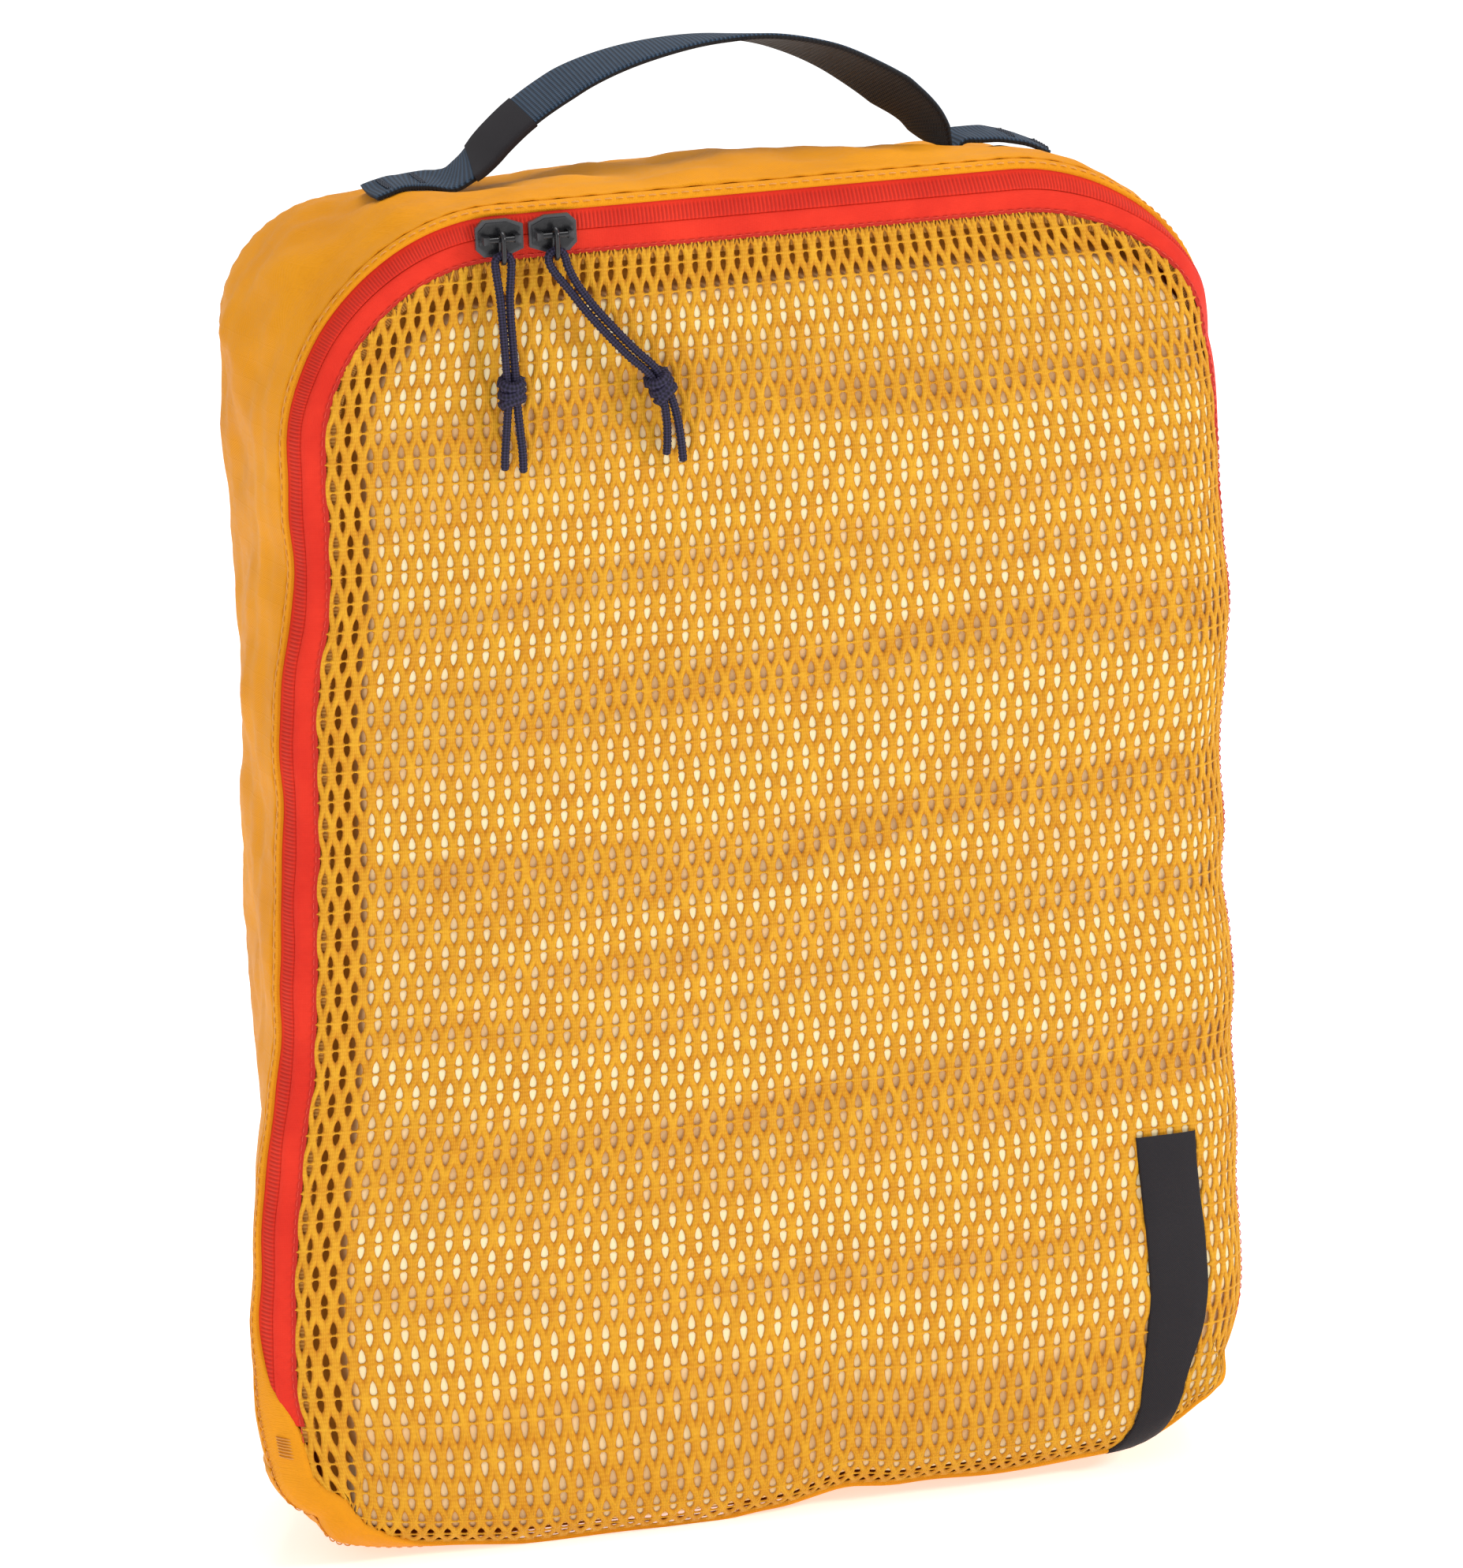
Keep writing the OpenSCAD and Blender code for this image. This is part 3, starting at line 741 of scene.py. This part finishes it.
def coil(name, inset, body, node):
    """One side of the coil: a wire wound in flat turns along the tape's edge, on the inside."""
    at, run = stations(0.36, zip_from + 0.002, zip_to - 0.002)
    turn = run * 2 * math.pi / 2.9
    side = 1 if inset > zip_mid else -1
    x, z = layout(at, inset + side * (0.95 - 0.95 * np.cos(turn)))
    line = stuffed(x, z, -1.5 - 0.7 * np.sin(turn))
    wound = grid_mesh(name, tube_rings(line, 0.28, 4, (0.1, 1, 0.1)), None, closed=True, finish=tape)
    sewn(wound, body, "zip_coil", node)


coil("zip_coil_outer_wire", 14.0, "bag", "zip_coil_outer")
coil("zip_coil_inner_wire", 15.0, "flap", "zip_coil_inner")


# Mesh front: a knitted polyester net of tall openings, each crossed by a thin bridge, in staggered
# rows. It is one piece from the zip down past the fold to the base seam, where it rolls under.
net_in = 20.6
base_net_in = 9.0
pitch, row = 4.2, 7.4
pulled_left, pulled_right, pulled_low = 1.15, 1.25, 1.6
net_yellow = Finish("knitted_net", (0.82, 0.36, 0.020), 0.6, Sheen_Weight=0.06, Specular_IOR_Level=0.2)
net_yellow.surface.inputs["Sheen Tint"].default_value = (1.0, 0.8, 0.4, 1)
across, upward = net_yellow.lay()
knit = (across * 5.6 + upward * 3.1).wave() * (across * 5.6 - upward * 3.1).wave()
mottle = net_yellow.noise(net_yellow.place(), 150, 4, 0.7)
deep = net_yellow.node("ShaderNodeAttribute", {"attribute_name": "depth"}, {}, 2)
gold = net_yellow.mix(net_yellow.stretch(mottle, 0.35, 0.7), (0.54, 0.215, 0.004), (0.69, 0.345, 0.014))
# painted highlight: the crests of the knit are lightened
gold = net_yellow.mix(net_yellow.stretch(knit, -0.2, 0.7) * 0.35, gold, (0.77, 0.41, 0.030))
# painted shade: the strands darken towards the edges of the openings, where they curve back
gold = net_yellow.mix(deep, gold, (0.42, 0.13, 0.004))
net_yellow.colour(gold)
net_yellow.bump(knit, 0.00012, 0.5)


def flat_x(a):
    """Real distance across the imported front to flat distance."""
    return np.where(a < 0, a / pulled_left, a / pulled_right)


def flat_z(b):
    return np.where(b < fold_z, fold_z - (fold_z - b) / pulled_low, b)


opening = [(-0.60, 0.42), (0.60, 0.42), (1.18, 1.2), (1.12, 2.6), (0.70, 4.2), (0.0, 5.3), (-0.70, 4.2),
           (-1.12, 2.6), (-1.18, 1.2)]
cell_side = [(pitch / 2, 0.0), (pitch / 2 * 0.72, row * 0.28), (pitch / 2 * 0.46, row * 0.54)]
cell = [(-0.55, 0.0), (0.55, 0.0), *cell_side, (0.0, row), *((-x, z) for x, z in cell_side[::-1])]
net_left, net_right = -(half_w - net_in) * pulled_left, (half_w - net_in) * pulled_right
net_top = cube_h - net_in
net_low = fold_z - (fold_z - base_net_in) * pulled_low
verts, depths, faces, seen = [], [], [], {}


def net_vertex(a, b, deep_in, key=None):
    if key is not None and key in seen:
        return seen[key]
    verts.append((a, b))
    depths.append(deep_in)
    if key is not None:
        seen[key] = len(verts) - 1
    return len(verts) - 1


columns = int((net_right - net_left) / pitch) + 2
rows = int((net_top - net_low) / row) + 2
for r in range(-1, rows + 1):
    for c in range(-1, columns + 1):
        mid_a = net_left + pitch * (c + 0.5 * (r % 2))
        mid_b = net_low + row * r
        loose = float(max(1 - ease(mid_a - net_left, 9, 15), 1 - ease(net_top - mid_b, 7, 12),
                          0.6 * (1 - ease(mid_b - net_low, 22, 34))))
        wide = 0.74 - 0.06 * loose
        tall = 0.67 - 0.03 * loose
        for flip in (1, -1):
            outer, half, inner = [], [], []
            for (ox, oz), (hx, hz) in zip(cell, opening):
                hx, hz = hx * wide, hz * tall
                a, b = mid_a + ox, mid_b + flip * oz
                outer.append(net_vertex(a, b, 0.0, (round(a * 20), round(b * 20))))
                a, b = mid_a + ox * 0.42 + hx * 0.58, mid_b + flip * (oz * 0.42 + hz * 0.58)
                half.append(net_vertex(a, b, 0.25))
                inner.append(net_vertex(mid_a + hx, mid_b + flip * hz, 1.0))
            for k in range(len(cell)):
                m = (k + 1) % len(cell)
                for ring_a, ring_b in ((outer, half), (half, inner)):
                    face = (ring_a[k], ring_a[m], ring_b[m], ring_b[k])
                    faces.append(face if flip > 0 else face[::-1])
verts = np.array(verts)
depths = np.array(depths)
flat_a, flat_b = flat_x(verts[:, 0]), flat_z(verts[:, 1])
inset_of, _, _, station_of = nearest_edge(flat_a, flat_b)
rim_in = np.where(station_of < 5, net_in - 0.6, between(base_cover, station_of, 0.02) - 1.2)
rim_in = np.where((station_of < 0.25) | ((station_of > 4.75) & (station_of < 5)), net_in - 0.9, rim_in)
keep = inset_of > rim_in
faces = [f for f in faces if all(keep[v] for v in f)]
used = sorted({v for f in faces for v in f})
renumber = {v: k for k, v in enumerate(used)}
points = stuffed(flat_a[used], flat_b[used], -0.5 * depths[used] ** 1.3)
net_data = bpy.data.meshes.new("mesh_front")
net_data.from_pydata((points * 0.001).tolist(), [], [[renumber[v] for v in f] for f in faces])
layer = net_data.uv_layers.new(name="lay")
corners = np.empty(len(net_data.loops), int)
net_data.loops.foreach_get("vertex_index", corners)
corners = np.array(used)[corners]
layer.data.foreach_set("uv", (verts[corners] * 0.001).ravel())
# the depth attribute carries the painted shade at the edges of the openings
attribute = net_data.attributes.new("depth", "FLOAT", "POINT")
attribute.data.foreach_set("value", (depths[used] ** 2 * 0.75).astype(np.float32))
net_data.shade_smooth()
net_data.materials.append(net_yellow.material)
net = bpy.data.objects.new("mesh_front", net_data)
scene.collection.objects.link(net)
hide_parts("window_net", "base_net")
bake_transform(net)
net_w, net_h = (net_right - net_left) * 0.001, (net_top - net_low) * 0.001
knitted_share = 0.72
net_w * net_h * knitted_share


# Packed clothes: a soft cream bundle fills the cube, so that the mesh shows it through its openings,
# in shallow folds that rise to the right. It stands clear of the mesh along the left side.
cream_white = (0.80, 0.68, 0.40)
# painted light: the bundle glows faintly in its own colour, so that it looks brighter behind the mesh
bundle = Finish("packed_cloth", cream_white, 0.85, Emission_Strength=0.04)
# painted shade: peach in the folds and dark brown on the sides that recede from the mesh
fold_and_recess_shade = bundle.node("ShaderNodeAttribute", {"attribute_name": "fold_and_recess_shade"}, {}, 2)
cream = bundle.mix(bundle.stretch(fold_and_recess_shade, 0, 0.9), cream_white, (0.76, 0.46, 0.20))
cream = bundle.mix(bundle.stretch(fold_and_recess_shade, 0.91, 1.0), cream, (0.55, 0.20, 0.010))
bundle.colour(cream)
bundle.tree.links.new(cream.socket, bundle.surface.inputs["Emission Color"])
bundle.bump(bundle.noise(bundle.place(), 900, 2), 0.0002, 0.4)
fill_x = np.linspace(22 - half_w, half_w - 14, 190)
fill_z = np.linspace(12, cube_h - 25, 270)
grid_x, grid_z = np.meshgrid(fill_x, fill_z)
from_edge, _, _, round_at = nearest_edge(grid_x, grid_z)
clear = between([(0, 29), (1, 27), (1.5, 29), (2, 29), (3, 29), (3.5, 25), (4, 19), (5, 19), (5.5, 18),
                 (6, 13), (7, 15), (7.5, 27), (8, 29)], round_at, 0.1)
puff = ease(from_edge - clear, 0, 6)
tilt = (grid_z - 0.055 * grid_x + 3.5 * np.sin(grid_x / 38 + grid_z / 61)
        + 2.2 * np.sin(grid_x / 19 - grid_z / 43))
crease = (0.55 * np.sin(tilt / 6.1) + 0.45 * np.sin(tilt / 10.3 + 1.1)
          + 0.35 * np.sin(tilt / 3.7 + grid_x / 52) + 0.3 * np.sin(tilt / 2.6 - grid_x / 37))
front_face = stuffed(grid_x, grid_z, -0.62 - 8 * (1 - puff) ** 1.5 - 0.45 * np.clip(0.2 - crease, 0, 2))
filling = grid_mesh("packed_bundle", front_face[:, ::-1], None, finish=bundle)
# painted shade: how much the folds and the receded sides are darkened, for each point
shade = np.clip(0.40 - 0.60 * crease + 0.12 * ripple(grid_x, grid_z * 2, 1.7), 0, 1) * 0.9
shade = np.maximum(shade, np.where(puff < 0.97, 0.9 + 0.1 * ease(1 - puff, 0.1, 0.7), 0))[:, ::-1].ravel()
mark = filling.data.attributes.new("fold_and_recess_shade", "FLOAT", "POINT")
mark.data.foreach_set("value", shade.astype(np.float32))
body = bmesh.new()
body.from_mesh(filling.data)
rim = [e for e in body.edges if e.is_boundary]
pushed = bmesh.ops.extrude_edge_only(body, edges=rim)
moved = [v for v in pushed["geom"] if isinstance(v, bmesh.types.BMVert)]
for v in moved:
    v.co.x = min(max(v.co.x * 0.84, -0.108), 0.108)
    v.co.y = (back_y - 8) * 0.001
    v.co.z = min(max(v.co.z, 0.014), 0.314)
bmesh.ops.holes_fill(body, edges=[e for e in body.edges if e.is_boundary])
bmesh.ops.recalc_face_normals(body, faces=body.faces)
body.to_mesh(filling.data)
body.free()
filling.data.shade_smooth()
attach(filling, "bag")


# Seam bindings: the raw seams inside the cube are bound with folded grosgrain, and a lighter tape
# covers the seam between the mesh and the zip.
grosgrain = Finish("seam_grosgrain", (0.80, 0.36, 0.045), 0.7, Sheen_Weight=0.2)
along, across = grosgrain.lay()
cord_rib = (along * (2 * math.pi / 0.9)).wave()
ridges = grosgrain.stretch(cord_rib, -0.6, 0.9)
grosgrain.colour(grosgrain.mix(ridges, (0.55, 0.20, 0.010), (0.84, 0.40, 0.06)))
grosgrain.bump(cord_rib, 0.00012, 0.6)
for name, node, first, last, insets, lifts, body in (
        ("front_seam_tape", "front_seam_binding", 0, 7.999, [6.4, 7.0, 9.0, 9.4],
         [-1.1, -1.6, -1.7, -1.2], "bag"),
        ("mesh_seam_tape", "net_binding", 0.02, 4.98, [19.4, 19.8, 23.6, 24.0],
         [-1.3, -1.5, -1.5, -1.3], "flap")):
    sewn(front_strip(name, first, last, insets, lifts, grosgrain, step=3.0), body, "binding", node)
at, run = stations(3.0)
rows_xz = [back_outline(at, inset) for inset in (1.0, 1.0, 4.0, 4.0)]
tape_points = np.stack([np.stack([x, np.full_like(x, back_y - inward), z], -1)
                        for (x, z), inward in zip(rows_xz, (2.4, 3.0, 3.0, 2.4))])
lay = np.stack(np.meshgrid(run, [0, 1, 4, 5]), -1)
sewn(grid_mesh("back_seam_tape", tape_points, lay, finish=grosgrain), "bag", "binding", "back_seam_binding")


# Topstitching: one row of polyester thread along the border, close to the zip, and one beside the
# inner tape. Each stitch is a short raised thread that dips into the cloth at both ends.
gold_thread = Finish("gold_thread", (0.62, 0.24, 0.010), 0.5, Sheen_Weight=0.3)
dark_thread = Finish("dark_thread", (0.012, 0.018, 0.035), 0.55)
red_thread = Finish("red_thread", (0.62, 0.030, 0.012), 0.55)
for thread in (gold_thread, dark_thread, red_thread):
    thread.bump(thread.noise(thread.place(), 3000, 2), 0.00005, 0.5)


def stitches(name, paths, finish, long=2.2, gap=0.7, radius=0.2):
    """Rows of stitches, each a thread bowed over the cloth. A path is points and which way is up."""
    verts, faces = [], []
    for line, above in paths:
        line, above = np.asarray(line, float), np.asarray(above, float)
        steps = np.linalg.norm(np.diff(line, axis=0), axis=1)
        run = np.concatenate([[0], np.cumsum(steps)])
        for start in np.arange(0.3, run[-1] - long, long + gap):
            at = start + long * np.array([0, 0.18, 0.5, 0.82, 1.0])
            middle = np.stack([np.interp(at, run, line[:, k]) for k in range(3)], 1)
            lift = np.stack([np.interp(at, run, above[:, k]) for k in range(3)], 1)
            ahead = middle[-1] - middle[0]
            ahead /= np.linalg.norm(ahead)
            side = np.cross(ahead, lift[2])
            side /= np.linalg.norm(side)
            bow = np.array([-0.25, 0.08, 0.2, 0.08, -0.25])[:, None]
            for place, normal, b in zip(middle, lift, bow):
                for turn in np.arange(5) * 2 * math.pi / 5:
                    rise = normal * (b + radius * math.sin(turn))
                    verts.append(place + rise + side * radius * math.cos(turn))
            for ring in range(len(verts) - 25, len(verts) - 5, 5):
                for k in range(5):
                    m = (k + 1) % 5
                    faces.append((ring + k, ring + m, ring + 5 + m, ring + 5 + k))
    mesh = bpy.data.meshes.new(name)
    mesh.from_pydata((np.array(verts) * 0.001).tolist(), [], faces)
    mesh.shade_smooth()
    mesh.materials.append(finish.material)
    made = bpy.data.objects.new(name, mesh)
    scene.collection.objects.link(made)
    return made


def front_row(first, last, inset, lift):
    at, _ = stations(1.0, first, last)
    x, z = layout(at, inset)
    line = stuffed(x, z, lift)
    return line, stuffed(x, z, lift + 1.0) - line


border_rows = [front_row(0.0, 5.0, 7.7, 0.8), front_row(5.0, 7.999, 7.7, 0.8)]
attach(stitches("border_stitching", border_rows, gold_thread), "bag")
tape_rows = [front_row(0.02, 4.98, 19.9, 0.12)]
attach(stitches("inner_tape_stitching", tape_rows, red_thread, 1.9, 0.6, 0.14), "flap")
ends = []
for station in (0.016, 4.984):
    for shift in np.linspace(-0.006, 0.006, 7):
        x, z = layout(np.full(9, station + shift), np.linspace(12.0, 17.0, 9))
        line = stuffed(x, z, 0.95)
        ends.append((line, stuffed(x, z, 1.95) - line))
zip_ends = stitches("zip_end_bartacks", ends, gold_thread, 4.6, 0.2, 0.2)
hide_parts("zip_bartacks")
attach(zip_ends, "bag")


# Handle: one length of 20 mm ribbed webbing. It is folded out flat at each end and sewn to the top
# of the gusset with a box stitch, and it twists a little on its right side, so its inside shows.
web_w, web_t = 20.0, 1.6
webbing = Finish("navy_webbing", (0.020, 0.042, 0.080), 0.66, Sheen_Weight=0.08, Specular_IOR_Level=0.2)
along, across = webbing.lay()
rib = (along * (2 * math.pi / 1.15)).wave()
yarn = (across * (2 * math.pi / 0.8)).wave() * rib
edge_highlight_and_mottle = webbing.noise(webbing.place(), 180, 3)
inside = webbing.stretch(across, 20.6, 21.4)
raised = webbing.stretch(rib + yarn * 0.5 + edge_highlight_and_mottle, 0.0, 1.8)
blue = webbing.mix(raised, (0.008, 0.018, 0.036), (0.030, 0.066, 0.120))
# painted shade: the underside of the webbing, which the twist shows, is near-black
webbing.colour(webbing.mix(inside, blue, (0.007, 0.007, 0.009)))
webbing.bump(rib + yarn * 0.7, 0.00022, 0.7)

bpy.context.view_layer.update()
gusset_tree = BVHTree.FromObject(gusset, bpy.context.evaluated_depsgraph_get())


def top_at(x, y, tree=gusset_tree):
    """Height of the gusset's top, or of another piece, at a place, in millimetres."""
    hit = tree.ray_cast(Vector((x * 0.001, y * 0.001, 0.5)), Vector((0, 0, -1)))
    return hit[0].z * 1000 if hit[0] else back_top


arch = [(-64.7, 356.5), (-58, 363), (-51.5, 368.4), (-44, 373.2), (-35, 377.7), (-24, 381.2), (-12, 383.4),
        (0, 384.3), (12, 383.6), (22, 381.2), (32, 377.2), (41, 371.8), (49, 366), (56, 359.6)]
left_foot = [(-92 + 3.2 * k, 1.0) for k in range(6)] + [(-71.5, 2.6)]
right_foot = [(61.4, 2.4)] + [(66 + 3.2 * k, 1.0) for k in range(8)]
left_foot, right_foot = ([(x, top_at(x, 0) + over) for x, over in foot] for foot in (left_foot, right_foot))
centre, web_length = smooth_route([(x, 0, z) for x, z in left_foot + arch + right_foot], 1.0)
share = np.linspace(0, 1, len(centre))
twist = np.radians(np.interp(share, [0, 0.10, 0.17, 0.30, 0.42, 0.52, 0.66, 0.76, 0.835, 0.87, 1],
                             [0, 0, 9, 11, 2, -7, -24, -33, -20, 0, 0]))
ahead = np.gradient(centre, axis=0)
ahead /= np.linalg.norm(ahead, axis=1)[:, None]
across_y = np.array([0.0, 1.0, 0.0])
outward = np.cross(ahead, across_y)
outward *= np.sign(outward[:, 2:3] + 1e-9)
wide_dir = across_y * np.cos(twist)[:, None] + outward * np.sin(twist)[:, None]
thick_dir = outward * np.cos(twist)[:, None] - across_y * np.sin(twist)[:, None]
foot_share = [(0, 1), (0.092, 1), (0.125, 0), (0.86, 0), (0.885, 1), (1, 1)]
tug_share = [(0, 0), (0.05, 0.1), (0.11, 1.2), (0.13, 0), (0.87, 0), (0.93, 0.6), (1, 0)]


def webbing_rings(grow, first, last):
    """Rings of the webbing's section, thickened by grow, between two shares of its length."""
    w, t = web_w / 2 + grow, web_t / 2 + grow
    face = [(-1, 0.35), (-0.98, 0.8), (-0.9, 1), (-0.6, 1), (-0.3, 1), (0, 1), (0.3, 1), (0.6, 1), (0.9, 1),
            (0.98, 0.8), (1, 0.35)]
    section = [(a * w, t * b) for a, b in face] + [(a * w, -t * b) for a, b in face[::-1]]
    run = np.arange(first, last + 0.004, 1 / len(centre))
    rings, lay = [], []
    for s_at in run:
        ring, spot = [], []
        for m, (a, b) in enumerate(section):
            slant = 0.022 * (a / w) * math.exp(-((s_at - 0.105) / 0.05) ** 2)
            at = min(max(s_at + slant, 0), 1)
            read = [np.array([np.interp(at, share, line[:, c]) for c in range(3)])
                    for line in (centre, wide_dir, thick_dir)]
            pinch = 1 - 0.08 * math.sin(math.pi * at) ** 2
            place = read[0] + read[1] * (a * pinch) + read[2] * (b - 0.25 * (a / w) ** 2)
            on_foot = float(between(foot_share, at, 0.006))
            if on_foot > 0.01:
                under = top_at(place[0], place[1])
                crest = top_at(place[0], -9 if place[0] < 0 else -18)
                under = max(under, 0.35 * under + 0.65 * crest)
                tug = (1 + a / w) * float(between(tug_share, at))
                rest = under + 0.2 + b + web_t / 2 + grow + tug
                place[2] = place[2] * (1 - on_foot) + rest * on_foot
            ring.append(place)
            spot.append((s_at * web_length, a + 10 if m < len(face) else a + 32))
        spot.append((s_at * web_length, spot[0][1] + 42))
        rings.append(ring)
        lay.append(spot)
    return np.array(rings), np.array(lay)


rings, lay = webbing_rings(0, 0, 1)
strap = grid_mesh("handle_webbing", rings, lay, closed=True, finish=webbing)
close_ends(strap, turn_out=True)
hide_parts("handle_strap", "handle_foot_left", "handle_foot_right")
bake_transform(strap)

satin = Finish("black_woven_label", (0.014, 0.012, 0.015), 0.6, Specular_IOR_Level=0.2)
along, across = satin.lay()
weave = (along * 14).wave() * (across * 14).wave()
satin.colour(satin.mix(satin.stretch(weave, -0.5, 0.8), (0.008, 0.007, 0.009), (0.022, 0.018, 0.022)))
satin.bump(weave, 0.00008, 0.5)
rings, lay = webbing_rings(0.35, 0.145, 0.235)
wrap = grid_mesh("handle_size_label", rings, lay, closed=True, finish=satin)
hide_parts("handle_label")
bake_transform(wrap)

bpy.context.view_layer.update()
strap_tree = BVHTree.FromObject(strap, bpy.context.evaluated_depsgraph_get())
rows_of = []
for side in (-1, 1):
    for far in (88, 79):
        y = np.linspace(-7.5, 7.5, 24)
        z = np.array([top_at(side * far, v, strap_tree) for v in y]) + 0.1
        line = np.stack([np.full_like(y, side * far), y, z], 1)
        for shift in (-0.5, 0, 0.5):
            rows_of.append((line + (shift, 0, 0), np.broadcast_to((0, 0, 1.0), line.shape)))
tacks = stitches("handle_box_stitching", rows_of, dark_thread, 2.0, 0.4, 0.24)
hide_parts("handle_bartacks")
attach(tacks, "bag")

at_x, at_y = np.meshgrid(np.linspace(-94, 94, 95), np.linspace(-14, 14, 12))
heights = np.array([[top_at(x, y) for x in at_x[0]] for y in at_y[:, 0]])
backing = grid_mesh("handle_backing", np.stack([at_x, at_y, heights - 1.1], -1), None, finish=ripstop)
sewn(backing, "bag", "cloth", "handle_patch")


# Woven labels: a plain black folded satin label is sewn on the mesh near the lower right corner and
# runs down round the base, and a blank white care label is caught in the seam inside.
label_z = np.linspace(6.5, 88.5, 86)
middle = np.interp(label_z, [0, 12, 26, 36, 48, 60, 75, 96], [74.4, 75, 81, 82.7, 82.9, 82.4, 81.5, 79.5])
half = np.interp(label_z, [0, 20, 40, 96], [5.3, 5.7, 6.4, 6.5])
shares = np.array([-1.02, -1, -0.94, -0.5, 0, 0.5, 0.94, 1, 1.02])
lifts = np.array([-0.3, 0.5, 0.75, 0.85, 0.95, 0.9, 0.75, 0.5, -0.3])
curl = 0.25 * np.sin(label_z / 7)[:, None] * (shares[None] > 0)
label_x = middle[:, None] + half[:, None] * shares[None] + curl
flat_points = stuffed(label_x, np.broadcast_to(label_z[:, None], label_x.shape),
                      np.broadcast_to(lifts[None], label_x.shape) + 0.25 * np.sin(label_z / 9.0)[:, None])
lay = np.stack([np.broadcast_to(label_z[:, None], label_x.shape), label_x], -1)
front_label = grid_mesh("front_woven_label", flat_points, lay, finish=satin)
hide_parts("label_upper", "label_lower")
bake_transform(front_label)

care_white = Finish("care_satin", (0.86, 0.86, 0.84), 0.5, Sheen_Weight=0.2)
care_white.bump(care_white.noise(care_white.place(), 2500, 2), 0.00005, 0.4)
low, high = (np.array(v) * 1000 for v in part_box("care_label"))
across_x, up_zs = np.meshgrid(np.linspace(low[0] + 4, high[0], 16), np.linspace(low[2], high[2], 14))
curl = low[1] - 0.5 - 1.2 * ease(across_x, low[0] + 8, high[0]) + 0.3 * np.sin(up_zs / 5)
care = grid_mesh("care_tag", np.stack([across_x, curl, up_zs], -1), None, finish=care_white)
care_edge = care.modifiers.new("satin", "SOLIDIFY")
care_edge.thickness = 0.0003
sewn(care, "bag", "care_label", "care_label")
